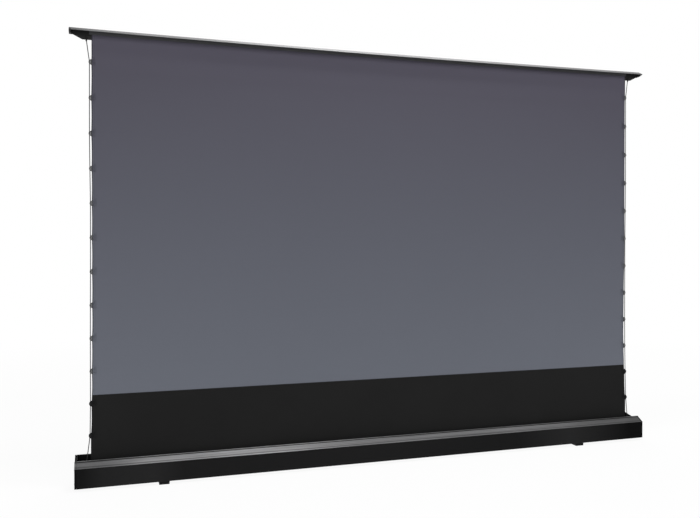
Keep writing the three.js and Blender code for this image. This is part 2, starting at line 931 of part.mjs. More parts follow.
function addLid() {
  const plate = outline([
    [-lidFrontEdge, lidTop],
    [-lidFrontEdge, lidUnderside],
    [lidRear - skirtThickness, lidUnderside],
    [lidRear - skirtThickness, lidTop - skirtHeight],
    [lidRear, lidTop - skirtHeight],
    [lidRear, lidTop],
  ]);
  add("lid_plate", alongBar(plate, -halfLidShell, halfLidShell), blackShell);

  const back = -lidFrontEdge - touchGap;
  const lipLow = lidTop - trimDrop - trimLip;
  const trim = outline([
    ...groovedEdge([-trimReach, lidTop - trimDrop], [back, lidTop], trimGrooveCount),
    [back, lidTop - trimThickness],
    [-trimReach + trimLipWidth, lipLow],
    [-trimReach, lipLow],
  ]);
  add("lid_front_trim", alongBar(trim, -halfLidShell, halfLidShell), brushedSilver);

  const cap = outline([
    [lidRear, lidTop],
    [-lidFrontEdge, lidTop],
    [-trimReach, lidTop - trimDrop],
    [-trimReach, lipLow],
    [-lidCapLowFront, lidTop - lidCapDrop],
    [lidCapLowRear, lidTop - lidCapDrop],
    [lidRear, lidTop - skirtHeight],
  ]);
  const inner = halfLid - lidCapThickness;
  add("left_lid_cap", alongBar(cap, -halfLid, -inner, 1), blackPlastic);
  add("right_lid_cap", alongBar(cap, inner, halfLid, 1), blackPlastic);
}

// Holds the fabric under the lid; its ends slant up, and a block on each holds a cord
function addHangerRail() {
  const top = lidUnderside - touchGap;
  const foot = halfPicture + railFoot;
  const shoulder = halfPicture + railShoulder;
  const shoulderLow = lidTop - railShoulderDrop;
  const across = (half, z) => {
    const row = [];
    for (let i = 0; i <= barSteps; i += 1) {
      row.push([half * ((2 * i) / barSteps - 1), z]);
    }
    return row;
  };
  const edge = [
    ...across(foot, railLow),
    [shoulder, shoulderLow],
    [halfLidShell, shoulderLow],
    ...across(-halfLidShell, top),
    [-halfLidShell, shoulderLow],
    [-shoulder, shoulderLow],
  ];
  const shape = outline(edge.map(([x, z]) => [x, z + barRise(x)]));
  const web = alongY(shape, clampFace, clampFace + railThickness);
  const flangeSection = outline([
    [clampFace, top - railThickness],
    [clampFace + railFlange, top - railThickness],
    [clampFace + railFlange, top],
    [clampFace, top],
  ]);
  const flange = alongBar(flangeSection, -halfLidShell, halfLidShell);
  const anchors = [-1, 1].map((side) => {
    const x = side * (halfPicture + cordTopOffset);
    const low = railLow + barRise(x);
    return block(
      [x - anchorWidth / 2, x + anchorWidth / 2],
      [clampFace - anchorDepth, clampFace + railThickness],
      [low, low + anchorWidth],
    );
  });
  add("hanger_rail", joined(web, flange, ...anchors), blackShell);

  const strip = outline([
    [-clampFace - clampThickness, pictureTop],
    [-clampFace, pictureTop],
    [-clampFace, top],
    [-clampFace - clampThickness, top],
  ]);
  const halfStrip = halfPicture + clampOverhang;
  add("clamp_strip", alongBar(strip, -halfStrip, halfStrip), blackShell);
}

function addConnectorPlate() {
  const span = (centre, width, fit = 0) => [centre - width / 2 - fit, centre + width / 2 + fit];
  const through = [caseRear - cutOverrun, plateFace + cutOverrun];
  const level = plateLevel;
  const inletX = plateX + inletOffset;
  const switchX = plateX + switchOffset;
  const plate = block(
    span(plateX, plateWidth),
    [caseRear + touchGap, plateFace],
    span(level, plateHeight),
  );
  const holes = [
    block(span(inletX, inletWidth, touchGap), through, span(level, inletHeight, touchGap)),
    block(span(switchX, switchWidth, touchGap), through, span(level, switchHeight, touchGap)),
  ];
  for (const [offset, radius] of [
    [buttonOffset, buttonRadius + buttonFit],
    [jackOffset, jackRadius + touchGap],
  ]) {
    holes.push(turned("y", solidBar(radius, ...through), [plateX + offset, 0, level]));
  }
  add("connector_plate", cut(plate, ...holes), blackPlastic);

  const inletBody = block(
    span(inletX, inletWidth),
    [fittingFace - inletDepth, fittingFace + inletFlange],
    span(level, inletHeight),
  );
  const inletFace = block(
    span(inletX, inletWidth, inletRim),
    [fittingFace, fittingFace + inletFlange],
    span(level, inletHeight, inletRim),
  );
  const half = [inletWidth / 2 - inletWall, inletHeight / 2 - inletWall];
  const socket = outline([
    [inletX - half[0], level - half[1]],
    [inletX + half[0], level - half[1]],
    [inletX + half[0], level + half[1] - inletCorner],
    [inletX + half[0] - inletCorner, level + half[1]],
    [inletX - half[0] + inletCorner, level + half[1]],
    [inletX - half[0], level + half[1] - inletCorner],
  ]);
  const mouth = fittingFace + inletFlange;
  const socketFloor = mouth - socketDepth;
  const cavity = alongY(socket, socketFloor, mouth + cutOverrun);
  const blades = [-bladeSpacing, 0, bladeSpacing].map((shift) =>
    block(
      span(inletX + shift, bladeWidth),
      [socketFloor - inletWall, socketFloor + bladeLength],
      span(level, bladeHeight),
    ),
  );
  add("mains_inlet", joined(cut(joined(inletBody, inletFace), cavity), ...blades), blackPlastic);

  addPowerSwitch(switchX, span);

  const buttonTip = plateFace + buttonReach;
  const button = solidBar(buttonRadius, buttonTip - buttonLength, buttonTip);
  add("manual_button", turned("y", button, [plateX + buttonOffset, 0, level]), blackPlastic);

  const jackFace = fittingFace + plateThickness;
  const jack = [
    [jackBore, jackFace - jackLength],
    [jackRadius, jackFace - jackLength],
    [jackRadius, fittingFace],
    [jackFlangeRadius, fittingFace],
    [jackFlangeRadius, jackFace],
    [jackBore, jackFace],
    [jackBore, jackFace - jackLength],
  ];
  add("trigger_jack", turned("y", jack, [plateX + jackOffset, 0, level]), zincSteel);
}

function addPowerSwitch(switchX, span) {
  const level = plateLevel;
  const face = fittingFace + plateThickness;
  const body = block(
    span(switchX, switchWidth),
    [face - switchDepth, face],
    span(level, switchHeight),
  );
  const flange = block(
    span(switchX, switchWidth, switchWall),
    [fittingFace, face],
    span(level, switchHeight, switchWall),
  );
  const pocket = block(
    span(switchX, switchWidth, -switchWall),
    [face - switchPocket, face + cutOverrun],
    span(level, switchHeight, -switchWall),
  );
  add("switch_frame", cut(joined(body, flange), pocket), blackPlastic);

  const half = rockerHeight / 2;
  const shape = outline([
    [-rockerDepth, -half / 2],
    [rockerReach, -half],
    [rockerReach - rockerDish, 0],
    [rockerReach, half],
    [-rockerDepth, half / 2],
  ]);
  const width = span(0, switchWidth, -switchWall - touchGap);
  const rocker = new THREE.Group();
  rocker.position.set(switchX, face - rockerReach / 2, level);
  rocker.rotation.x = -rockerTravel / 2;
  screen.add(rocker);
  add("power_rocker", alongX(shape, ...width), blackPlastic, rocker);
}

function addControlBoard() {
  const right = plateX + boardWidth / 2;
  const left = right - boardWidth;
  const rear = boardFront + boardDepth;
  const low = seat + standoffHeight;
  const top = low + boardThickness;
  const legs = [];
  for (const x of [left, right - standoffSize]) {
    for (const y of [boardFront, rear - standoffSize]) {
      legs.push(block([x, x + standoffSize], [y, y + standoffSize], [seat, low + boardThickness / 2]));
    }
  }
  const mounted = (x, y, width, depth, height) =>
    block([x, x + width], [y, y + depth], [low + boardThickness / 2, top + height]);
  const relayX = left + standoffSize + reliefSize;
  const transformerX = relayX + relayWidth + reliefSize;
  const terminalX = right - terminalWidth - reliefSize;
  const board = joined(
    block([left, right], [boardFront, rear], [low, top]),
    ...legs,
    mounted(relayX, boardFront + reliefSize, relayWidth, relayDepth, relayHeight),
    mounted(transformerX, boardFront + reliefSize, transformerWidth, transformerDepth, transformerHeight),
    mounted(terminalX, boardFront + reliefSize, terminalWidth, terminalDepth, terminalHeight),
  );
  add("control_board", board, boardGreen);

  const headX = halfTube + touchGap + motorHeadLength / 2;
  const headTop = rollerHeight + motorHeadRadius + touchGap;
  const route = new THREE.CatmullRomCurve3(
    leadRoute.map(([x, y, z]) => new THREE.Vector3(headX + x, rollerDepth + y, headTop + z)),
  );
  const section = new THREE.Shape();
  section.absarc(0, 0, leadRadius, 0, 2 * Math.PI, false);
  const lead = new THREE.ExtrudeGeometry(section, {
    steps: leadSteps,
    curveSegments: cordSides / 2,
    extrudePath: route,
    bevelEnabled: false,
  });
  add("motor_lead", lead, blackPlastic);
}

addFrontPanel();
addSlopeTrim();
addBasePlate();
addRearCover();
addEndCaps();
addFabric();
addRoller();
addMotor();
addRollerBrackets();
addLid();
addHangerRail();
addConnectorPlate();
addControlBoard();
for (const [name, side] of [
  ["left", -1],
  ["right", 1],
]) {
  addFoot(name, side * pivotX + footShift);
  addTabStrip(name, side);
  addCord(name, side);
  addFoldingArm(name, side);
  addPivots(name, side);
}

screen.position.y = -(footRear - caseFront) / 2;

export default screen;
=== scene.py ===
# Floor-rising projection screen, raised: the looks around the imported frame.
# Metres, +Z up, +X to the viewer's right, fabric facing -Y.
import json
import math

import bmesh
import bpy
from mathutils import Matrix, Vector


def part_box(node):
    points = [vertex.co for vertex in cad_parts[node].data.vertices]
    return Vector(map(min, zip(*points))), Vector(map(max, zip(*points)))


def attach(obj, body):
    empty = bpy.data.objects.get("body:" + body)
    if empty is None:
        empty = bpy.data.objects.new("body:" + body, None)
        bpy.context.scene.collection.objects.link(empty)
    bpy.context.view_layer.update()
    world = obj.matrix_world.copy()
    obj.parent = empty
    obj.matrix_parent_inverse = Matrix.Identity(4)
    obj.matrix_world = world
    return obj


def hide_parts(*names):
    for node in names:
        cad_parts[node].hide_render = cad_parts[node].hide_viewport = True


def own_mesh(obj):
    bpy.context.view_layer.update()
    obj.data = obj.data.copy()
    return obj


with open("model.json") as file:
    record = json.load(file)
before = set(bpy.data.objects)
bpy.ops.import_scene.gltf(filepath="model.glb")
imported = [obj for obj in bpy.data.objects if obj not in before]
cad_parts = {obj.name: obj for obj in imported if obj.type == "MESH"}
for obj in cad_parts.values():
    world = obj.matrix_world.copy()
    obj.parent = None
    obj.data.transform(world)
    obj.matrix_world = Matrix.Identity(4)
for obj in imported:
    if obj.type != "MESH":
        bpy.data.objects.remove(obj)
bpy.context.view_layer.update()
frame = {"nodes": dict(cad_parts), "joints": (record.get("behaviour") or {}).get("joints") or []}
joints = {joint["name"]: joint for joint in frame["joints"]}
print("frame loaded,", len(frame["nodes"]), "nodes")

# Camera, at the photograph's place
camera = {
    "place": (-1.091, -2.927, 0.863),
    "below": 0.804,  # degrees below level
    "right": 17.993,  # degrees to the right of straight ahead
    "focal": 781.4,  # in pixels of the picture
    "pictureWidth": 700,  # pixels
    "lowered": 5.89,  # pixels that the frame is shifted by
    "sideways": 0.5,  # likewise, to the left
    "sensor": 36,  # millimetres
}


def addCamera():
    lens = bpy.data.cameras.new("camera")
    lens.sensor_width = camera["sensor"]
    lens.lens = camera["focal"] / camera["pictureWidth"] * camera["sensor"]
    lens.shift_x = -camera["sideways"] / camera["pictureWidth"]
    lens.shift_y = -camera["lowered"] / camera["pictureWidth"]
    eye = bpy.data.objects.new("camera", lens)
    eye.location = camera["place"]
    eye.rotation_euler = (math.radians(90 - camera["below"]), 0, -math.radians(camera["right"]))
    bpy.context.scene.collection.objects.link(eye)
    bpy.context.scene.camera = eye


addCamera()
print("camera placed")


# Building finishes from nodes
def startFinish(name, color, roughness, metallic=0.0, specular=0.5):
    finish = bpy.data.materials.new(name)
    finish.use_nodes = True
    shader = finish.node_tree.nodes["Principled BSDF"]
    shader.inputs["Base Color"].default_value = (*color, 1)
    shader.inputs["Roughness"].default_value = roughness
    shader.inputs["Metallic"].default_value = metallic
    shader.inputs["Specular IOR Level"].default_value = specular
    return finish


def addNode(finish, kind, values, **settings):
    node = finish.node_tree.nodes.new("ShaderNode" + kind)
    for key, value in settings.items():
        setattr(node, key, value)
    for key, value in values.items():
        if isinstance(value, bpy.types.NodeSocket):
            finish.node_tree.links.new(value, node.inputs[key])
        else:
            node.inputs[key].default_value = value
    return node


def toShader(finish, key, value):
    shader = finish.node_tree.nodes["Principled BSDF"]
    finish.node_tree.links.new(value, shader.inputs[key])


# Places in the object's own metres
def ownPlace(finish):
    return addNode(finish, "TexCoord", {}).outputs["Object"]


# Noise over those places, drawn out along an axis by a low number
def grain(finish, scale, stretch=(1, 1, 1), detail=4):
    mapped = addNode(finish, "Mapping", {"Vector": ownPlace(finish), "Scale": stretch})
    values = {"Vector": mapped.outputs["Vector"], "Scale": scale, "Detail": detail}
    return addNode(finish, "TexNoise", values).outputs["Fac"]


noiseSpan = (0.3, 0.7)  # most values of a noise lie in it


# A field's span drawn out from low to high
def spread(finish, field, low, high, span=noiseSpan):
    values = {"Value": field, "From Min": span[0], "From Max": span[1], "To Min": low, "To Max": high}
    return addNode(finish, "MapRange", values).outputs["Result"]


def ramp(finish, field, stops):
    node = addNode(finish, "ValToRGB", {"Fac": field})
    marks = node.color_ramp.elements
    while len(marks) < len(stops):
        marks.new(1)
    for mark, (position, color) in zip(marks, stops):
        mark.position = position
        mark.color = (*color, 1)
    return node.outputs["Color"]


# Colours from dark to light over a field's span
def shaded(finish, field, dark, light, span=noiseSpan):
    return ramp(finish, field, list(zip(span, (dark, light))))


def combined(finish, operation, first, second):
    node = addNode(finish, "Math", {0: first, 1: second}, operation=operation)
    return node.outputs["Value"]


def product(finish, first, second):
    mix = addNode(finish, "Mix", {}, data_type="RGBA", blend_type="MULTIPLY")
    mix.inputs["Factor"].default_value = 1
    finish.node_tree.links.new(first, mix.inputs["A"])
    finish.node_tree.links.new(second, mix.inputs["B"])
    return mix.outputs["Result"]


def relief(finish, field, height):
    bump = addNode(finish, "Bump", {"Height": field, "Distance": height})
    toShader(finish, "Normal", bump.outputs["Normal"])


def gray(value):
    return (value, value, value)


# Stops of a grey ramp: place, level
def shades(*stops):
    return [(place, gray(level)) for place, level in stops]


# Greys over a noise, to tint a colour with
def mottled(finish, noise, dark, light=1, span=noiseSpan):
    return shaded(finish, noise, gray(dark), gray(light), span)


# A field that runs from 0 to 1 along one of the object's own axes
def along(finish, axis, low, high):
    reach = addNode(finish, "SeparateXYZ", {"Vector": ownPlace(finish)}).outputs[axis]
    return spread(finish, reach, 0, 1, (low, high))


# Multiplies a finish's colour by another colour field
def tintColor(finish, tint):
    shader = finish.node_tree.nodes["Principled BSDF"]
    painted = shader.inputs["Base Color"].links[0].from_socket
    toShader(finish, "Base Color", product(finish, painted, tint))


# Finishes
wear = {
    "gloss": {"scale": 9},  # patches to the metre where the gloss changes
    "dull": {"scale": 2.5, "stretch": (1, 6, 6)},  # likewise, where brushed metal is duller
    "dullTone": 0.9,
    "grainDepth": 1 / 12,  # share of a grain's size
    "streakDepth": 1 / 14,
    "brushing": {"stretch": (0.004, 1, 1), "detail": 6},
    "brushSpan": (0.32, 0.68),
    "wideBrushing": {"stretch": (0.012, 1, 1), "detail": 2},
    "wideSpan": (0.36, 0.64),
}


def coated(name, dark, light, roughness, grainSize, specular=0.5, metallic=0.0):
    finish = startFinish(name, light, roughness[0], metallic, specular)
    fine = grain(finish, 1 / grainSize)
    toShader(finish, "Base Color", shaded(finish, fine, dark, light))
    toShader(finish, "Roughness", spread(finish, grain(finish, **wear["gloss"]), *roughness))
    relief(finish, fine, grainSize * wear["grainDepth"])
    return finish


def brushed(name, dark, light, roughness, streak, metallic=1.0):
    finish = startFinish(name, light, roughness[0], metallic)
    lines = grain(finish, 1 / streak, **wear["brushing"])
    tone = shaded(finish, lines, dark, light, wear["brushSpan"])
    shade = mottled(finish, grain(finish, **wear["dull"]), wear["dullTone"])
    toShader(finish, "Base Color", product(finish, tone, shade))
    toShader(finish, "Roughness", spread(finish, lines, *roughness))
    relief(finish, lines, streak * wear["streakDepth"])
    return finish


shellPaint = {
    "dark": (0.0055, 0.0055, 0.0058),
    "light": (0.0105, 0.0105, 0.0109),
    "roughness": (0.42, 0.54),
    "grainSize": 0.0009,
    "specular": 0.09,
}
blackShell = coated("blackShell", **shellPaint)
frontPaint = {
    **shellPaint,
    "dark": (0.0073, 0.0073, 0.0076),
    "light": (0.0139, 0.0139, 0.0143),
    "specular": 0.12,
}
frontShell = coated("frontShell", **frontPaint)

clampPaint = {
    "dark": (0.056, 0.056, 0.059),
    "light": (0.078, 0.078, 0.082),
    "roughness": (0.5, 0.6),
    "grainSize": 0.001,
    "specular": 0.15,
}
clampGray = coated("clampGray", **clampPaint)

silverBrush = {
    "dark": (0.243, 0.243, 0.246),
    "light": (0.43, 0.43, 0.437),
    "roughness": (0.42, 0.52),
    "streak": 0.0011,
    "metallic": 0.8,
}
streaks = {
    "slope": {"width": 0.0055, "depth": 0.72},
    "lid": {"width": 0.004, "depth": 0.85},
}


# Brushed silver with wider lengthwise streaks, and painted shade in darker lines along it
def silverStrip(name, streak, lines=None):
    finish = brushed(name, **silverBrush)
    wide = grain(finish, 1 / streak["width"], **wear["wideBrushing"])
    tintColor(finish, mottled(finish, wide, streak["depth"], span=wear["wideSpan"]))
    if lines:
        soft = lines["soft"]
        stops = []
        for low, high, level in lines["dark"]:
            stops += shades((low - soft, 1), (low, level), (high, level), (high + soft, 1))
        tintColor(finish, ramp(finish, along(finish, "Z", *lines["span"]), stops))
    return finish


plasticGrain = {
    "dark": (0.004, 0.004, 0.0042),
    "light": (0.008, 0.008, 0.0084),
    "roughness": (0.5, 0.62),
    "grainSize": 0.0006,
    "specular": 0.14,
}
blackPlastic = coated("blackPlastic", **plasticGrain)
endCapPlastic = coated("endCapPlastic", **{**plasticGrain, "roughness": (0.8, 0.9), "specular": 0.03})
lidCapGrain = {
    **plasticGrain,
    "dark": (0.0175, 0.0175, 0.018),
    "light": (0.028, 0.028, 0.0287),
}
lidCapPlastic = coated("lidCapPlastic", **lidCapGrain)
railShell = coated("railShell", **{**shellPaint, "dark": gray(0.014), "light": gray(0.022)})

armCoat = {
    "dark": (0.014, 0.0145, 0.016),
    "light": (0.022, 0.0225, 0.024),
    "roughness": (0.36, 0.46),
    "grainSize": 0.0008,
    "specular": 0.4,
    "metallic": 0.35,
}
armPaint = coated("armPaint", **armCoat)

zincPlate = {
    "dark": gray(0.36),
    "light": (0.52, 0.53, 0.55),
    "roughness": (0.3, 0.45),
    "grainSize": 0.004,
    "metallic": 1.0,
}
zincSteel = coated("zincSteel", **zincPlate)

tubeDraw = {
    "dark": gray(0.48),
    "light": gray(0.62),
    "roughness": (0.28, 0.4),
    "streak": 0.0016,
}
bareAluminium = brushed("bareAluminium", **tubeDraw)

motorCoat = {
    "dark": gray(0.55),
    "light": gray(0.62),
    "roughness": (0.38, 0.48),
    "grainSize": 0.0012,
}
motorWhite = coated("motorWhite", **motorCoat)

rubberGrain = {
    "dark": gray(0.005),
    "light": gray(0.012),
    "roughness": (0.8, 0.92),
    "grainSize": 0.0014,
    "specular": 0.2,
}
soleRubber = coated("soleRubber", **rubberGrain)

hemTape = {
    "dark": gray(0.02),
    "light": gray(0.032),
    "roughness": (0.6, 0.7),
    "grainSize": 0.0012,
    "specular": 0.2,
}
hemBlack = coated("hemBlack", **hemTape)
tabCoat = {
    "dark": (0.15, 0.15, 0.153),
    "light": (0.19, 0.19, 0.194),
    "roughness": (0.5, 0.6),
    "grainSize": 0.0008,
    "specular": 0.2,
}
tabGray = coated("tabGray", **tabCoat)
rimCoat = {**tabCoat, "dark": gray(0.05), "light": gray(0.07)}
tabRim = coated("tabRim", **rimCoat)
feltPile = {
    "dark": gray(0.004),
    "light": gray(0.012),
    "roughness": (0.9, 0.97),
    "grainSize": 0.0005,
    "specular": 0.05,
}
blackFelt = coated("blackFelt", **feltPile)

# Painted shade on the picture: darker towards the top by its heights, and painted lighter just under the
# top bar to offset that bar's shadow
greyFront = {
    "top": (0.0861, 0.0802, 0.1064),  # lighter again under the top bar, which shades it
    "upper": (0.0731, 0.0700, 0.0910),
    "middle": (0.0974, 0.0998, 0.1238),
    "bottom": (0.1404, 0.1505, 0.1797),
    # Painted shade across the picture, as shares of its colour
    "across": ((0, 0.96), (0.35, 0.92), (0.65, 0.93), (0.85, 0.97), (1, 1)),  # from the left edge
    "heights": {"bottom": 0, "middle": 0.55, "upper": 0.9, "top": 1},
    "hem": (  # from the fabric's edge inwards
        (0, 0.42), (0.16, 0.42), (0.2, 1.08), (0.36, 1.08), (0.4, 0.84), (0.5, 0.84),
        (0.54, 1.05), (0.67, 1.05), (0.7, 1),
    ),
    "hemReach": 0.02,
    "speckSize": 0.0022,
    "speckTone": 0.96,
    "streaks": {"scale": 60, "stretch": (0.02, 1, 12)},
    "streakTone": 0.985,
    "threads": {"scale": 500, "stretch": (0.04, 1, 3)},
    "depth": 0.00004,
    "roughness": 0.82,
    "specular": 0.12,
}


# The picture's tone with painted shade, darker towards the top and painted lighter just under the top
# bar
def pictureToneAndShade(finish):
    rise = along(finish, "Z", seamHeight, pictureTop)
    return ramp(finish, rise, [(share, greyFront[key]) for key, share in greyFront["heights"].items()])


# Grey screen fabric with welded bands along its side edges, and painted shade down and across it
def screenFront():
    look = greyFront
    finish = startFinish("greyFront", look["top"], look["roughness"], 0, look["specular"])
    base = pictureToneAndShade(finish)
    distance = addNode(finish, "Attribute", {}, attribute_name="edgeDistance").outputs["Fac"]
    bands = ramp(finish, spread(finish, distance, 0, 1, (0, look["hemReach"])), shades(*look["hem"]))
    specks = mottled(finish, grain(finish, 1 / look["speckSize"]), look["speckTone"])
    streaks = mottled(finish, grain(finish, **look["streaks"]), look["streakTone"])
    fine = product(finish, specks, streaks)
    toShader(finish, "Base Color", product(finish, product(finish, base, bands), fine))
    paintLightAlong(finish, look["across"], halfPicture)
    relief(finish, grain(finish, **look["threads"]), look["depth"])
    return finish


ribWeld = {
    "specks": 900,
    "tones": (0.8, 0.95),
    "roughness": 0.75,
    "specular": 0.12,
    "bumps": 1200,
    "depth": 0.00004,
}


# Ribs welded over the picture take its tone and its painted shade
def ribFinish():
    finish = startFinish("ribGray", greyFront["middle"], ribWeld["roughness"], 0, ribWeld["specular"])
    specks = mottled(finish, grain(finish, ribWeld["specks"]), *ribWeld["tones"])
    toShader(finish, "Base Color", product(finish, pictureToneAndShade(finish), specks))
    relief(finish, grain(finish, ribWeld["bumps"]), ribWeld["depth"])
    return finish


weaveForm = {
    "threads": {"Scale": 170, "Distortion": 0.6, "Detail": 1},
    "span": (0, 0.6),
    "patches": 5,
    "patchTone": 0.85,
    "roughness": 0.85,
    "specular": 0.15,
    "depth": 0.00012,
}


# Woven fabric, its threads running along and up
def woven(name, dark, light):
    finish = startFinish(name, light, weaveForm["roughness"], 0, weaveForm["specular"])
    values = {"Vector": ownPlace(finish), **weaveForm["threads"]}
    threads = [addNode(finish, "TexWave", values, bands_direction=way).outputs["Fac"] for way in "XZ"]
    weave = combined(finish, "MULTIPLY", *threads)
    tone = shaded(finish, weave, dark, light, weaveForm["span"])
    shade = mottled(finish, grain(finish, weaveForm["patches"]), weaveForm["patchTone"])
    toShader(finish, "Base Color", product(finish, tone, shade))
    relief(finish, weave, weaveForm["depth"])
    return finish


cordThreads = {
    "dark": gray(0.006),
    "light": gray(0.03),
    "threads": {"scale": 1800, "stretch": (1, 1, 0.35)},
    "span": (0.35, 0.65),
    "roughness": 0.7,
    "specular": 0.2,
    "depth": 0.0001,
}


# Threads of the tension cords, drawn out along them
def cordFinish():
    look = cordThreads
    finish = startFinish("cordPolyester", look["light"], look["roughness"], 0, look["specular"])
    threads = grain(finish, **look["threads"])
    tone = shaded(finish, threads, look["dark"], look["light"], look["span"])
    toShader(finish, "Base Color", tone)
    relief(finish, threads, look["depth"])
    return finish


# Places taken from the frame
def midOf(node):
    low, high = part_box(node)
    return (low + high) / 2


def cornersOf(node):
    return [corner.co for corner in frame["nodes"][node].data.vertices]


sides = {"left": -1, "right": 1}
pictureLow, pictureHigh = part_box("picture_fabric")
fabricPlane = midOf("picture_fabric").y
halfPicture = pictureHigh.x
seamHeight = pictureLow.z
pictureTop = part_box("clamp_strip")[0].z
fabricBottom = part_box("black_drop")[0].z
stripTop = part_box("left_tab_strip")[1].z
rollerAxis = midOf("roller_tube")

barMiddle = 0.01  # corners nearer than this to x = 0 are at the top bar's middle
barTop = max(corner.z for corner in cornersOf("lid_plate") if abs(corner.x) < barMiddle)
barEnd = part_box("lid_plate")[1]
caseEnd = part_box("right_end_cap")[1].x
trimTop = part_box("slope_trim")[1].z


# How far the top bar's bow lifts it at x
def barRise(x):
    return (barEnd.z - barTop) * (x / barEnd.x) ** 2


# Painted shade in two bands along the slope trim: under its crest, and near its lower edge where a
# groove runs
slopeShadeLines = {
    "span": (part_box("front_panel")[1].z, trimTop),
    "dark": ((0.15, 0.25, 0.5), (0.81, 0.93, 0.12)),  # from, to, share of the full colour
    "soft": 0.015,
}
lidSilver = silverStrip("lidSilver", streaks["lid"])
slopeSilver = silverStrip("slopeSilver", streaks["slope"], slopeShadeLines)
# Painted highlight and shade: shares of the full colour, from the left end of the case or the top bar to
# the right
paintedLight = {
    "front": (
        (0.01, 0.46), (0.04, 0.84), (0.115, 1), (0.16, 0.65), (0.43, 0.72), (0.74, 0.55),
        (0.845, 0.96), (0.91, 0.64), (0.97, 0.26),
    ),
    "slope": (
        (0.01, 0.36), (0.055, 0.58), (0.1, 0.94), (0.26, 1), (0.35, 0.9), (0.43, 0.7),
        (0.62, 0.64), (0.72, 0.78), (0.83, 0.77), (0.91, 0.49), (0.98, 0.27),
    ),
    "lid": (
        (0, 0.2), (0.03, 0.41), (0.1, 0.63), (0.2, 0.56), (0.35, 0.62), (0.5, 0.74),
        (0.6, 1), (0.7, 0.76), (0.93, 0.57), (1, 0.42),
    ),
}


# Multiplies a finish's colour by painted highlight and shade along its length
def paintLightAlong(finish, fade, end):
    tint = ramp(finish, along(finish, "X", -end, end), shades(*fade))
    tintColor(finish, tint)
    return tint


paintLightAlong(slopeSilver, paintedLight["slope"], caseEnd)
paintLightAlong(lidSilver, paintedLight["lid"], barEnd.x)
tint = paintLightAlong(frontShell, paintedLight["front"], caseEnd)
# The front's gloss dims with the same painted shade towards its ends
gloss = combined(frontShell, "MULTIPLY", tint, frontPaint["specular"])
toShader(frontShell, "Specular IOR Level", gloss)
greyFabric = screenFront()
ribGray = ribFinish()
blackFabric = woven("blackFabric", gray(0.0075), gray(0.014))
fabricBack = woven("fabricBack", gray(0.010), gray(0.026))
cordPolyester = cordFinish()
leadCoat = {
    "dark": gray(0.01),
    "light": gray(0.018),
    "roughness": (0.45, 0.55),
    "grainSize": 0.002,
    "specular": 0.4,
}
leadSheath = coated("leadSheath", **leadCoat)
print("finishes made,", len(bpy.data.materials))


# Building meshes: each part of a piece is its points, its faces, and the number of each face's finish;
# edges that bend by more than smooth, in degrees, stay sharp
def makePiece(name, parts, finishes, body, smooth=35):
    points, faces, kinds = [], [], []
    for partPoints, partFaces, partKinds in parts:
        faces += [[len(points) + corner for corner in face] for face in partFaces]
        points += [tuple(point) for point in partPoints]
        kinds += partKinds
    mesh = bpy.data.meshes.new(name)
    mesh.from_pydata(points, [], faces)
    for finish in finishes:
        mesh.materials.append(finish)
    mesh.polygons.foreach_set("material_index", kinds)
    work = bmesh.new()
    work.from_mesh(mesh)
    bmesh.ops.recalc_face_normals(work, faces=work.faces)
    work.to_mesh(mesh)
    work.free()
    mesh.shade_smooth()
    mesh.set_sharp_from_angle(angle=math.radians(smooth))
    mesh.update()
    piece = bpy.data.objects.new(name, mesh)
    bpy.context.scene.collection.objects.link(piece)
    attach(piece, body)
    return piece


# Numbers in even steps from low to high
def evenly(low, high, count):
    return [low + (high - low) * index / (count - 1) for index in range(count)]


# Faces between rings of equally many points, with the ends closed if asked
def ringFaces(rings, around, closed=True, caps=True):
    faces = []
    last = around if closed else around - 1
    for ring in range(rings - 1):
        for k in range(last):
            a = ring * around + k
            b = ring * around + (k + 1) % around
            faces.append((a, b, b + around, a + around))
    if caps:
        faces.append(tuple(reversed(range(around))))
        faces.append(tuple(range((rings - 1) * around, rings * around)))
    return faces


# Rings of equally many points as one closed part
def ringPart(points, around, kind=0):
    faces = ringFaces(len(points) // around, around)
    return points, faces, [kind] * len(faces)


squareCorners = ((-1, -1), (1, -1), (1, 1), (-1, 1))


# A profile of (radius, place along the axis) turned about an axis through a place;
# forms gives each ring's radii as shares, where some aren't round
def turned(profile, place, axis, around, forms=None, kind=0):
    turn = Vector(axis).to_track_quat("Z", "Y").to_matrix()
    points = []
    for index, (radius, rise) in enumerate(profile):
        for k in range(around):
            angle = math.tau * k / around
            reach = radius * forms[index][k] if forms else radius
            spot = Vector((reach * math.cos(angle), reach * math.sin(angle), rise))
            points.append(Vector(place) + turn @ spot)
    return ringPart(points, around, kind)


# A tube along points; radiusAt(distance, angle) shapes its section
def tube(route, radiusAt, around):
    route = [Vector(point) for point in route]
    side = None
    points = []
    travelled = 0
    for index, point in enumerate(route):
        ahead = route[min(index + 1, len(route) - 1)] - route[max(index - 1, 0)]
        ahead.normalize()
        if side is None:
            side = ahead.orthogonal().normalized()
        else:
            travelled += (point - route[index - 1]).length
        side = (side - ahead * side.dot(ahead)).normalized()
        other = ahead.cross(side)
        for k in range(around):
            angle = math.tau * k / around
            reach = radiusAt(travelled, angle)
            points.append(point + reach * (math.cos(angle) * side + math.sin(angle) * other))
    return ringPart(points, around)


# Socket-head screws: each ring's radius and rise as shares of the screw's
screwForm = {
    "head": ((1.0, 0.0), (1.0, 0.35), (0.86, 0.8), (0.68, 1.0)),
    "socket": ((0.5, 1.0), (0.46, 0.25)),
    "around": 12,
}


def screwPart(place, axis, screw):
    count = screwForm["around"]
    hexagon = [1 if k % 2 == 0 else math.cos(math.pi / 6) for k in range(count)]
    rings = screwForm["head"] + screwForm["socket"]
    profile = [(screw["radius"] * share, screw["height"] * rise) for share, rise in rings]
    forms = [[1] * count] * len(screwForm["head"]) + [hexagon] * len(screwForm["socket"])
    return turned(profile, place, axis, count, forms)


def screwPiece(name, places, axis, screw, body):
    makePiece(name, [screwPart(place, axis, screw) for place in places], [zincSteel], body)


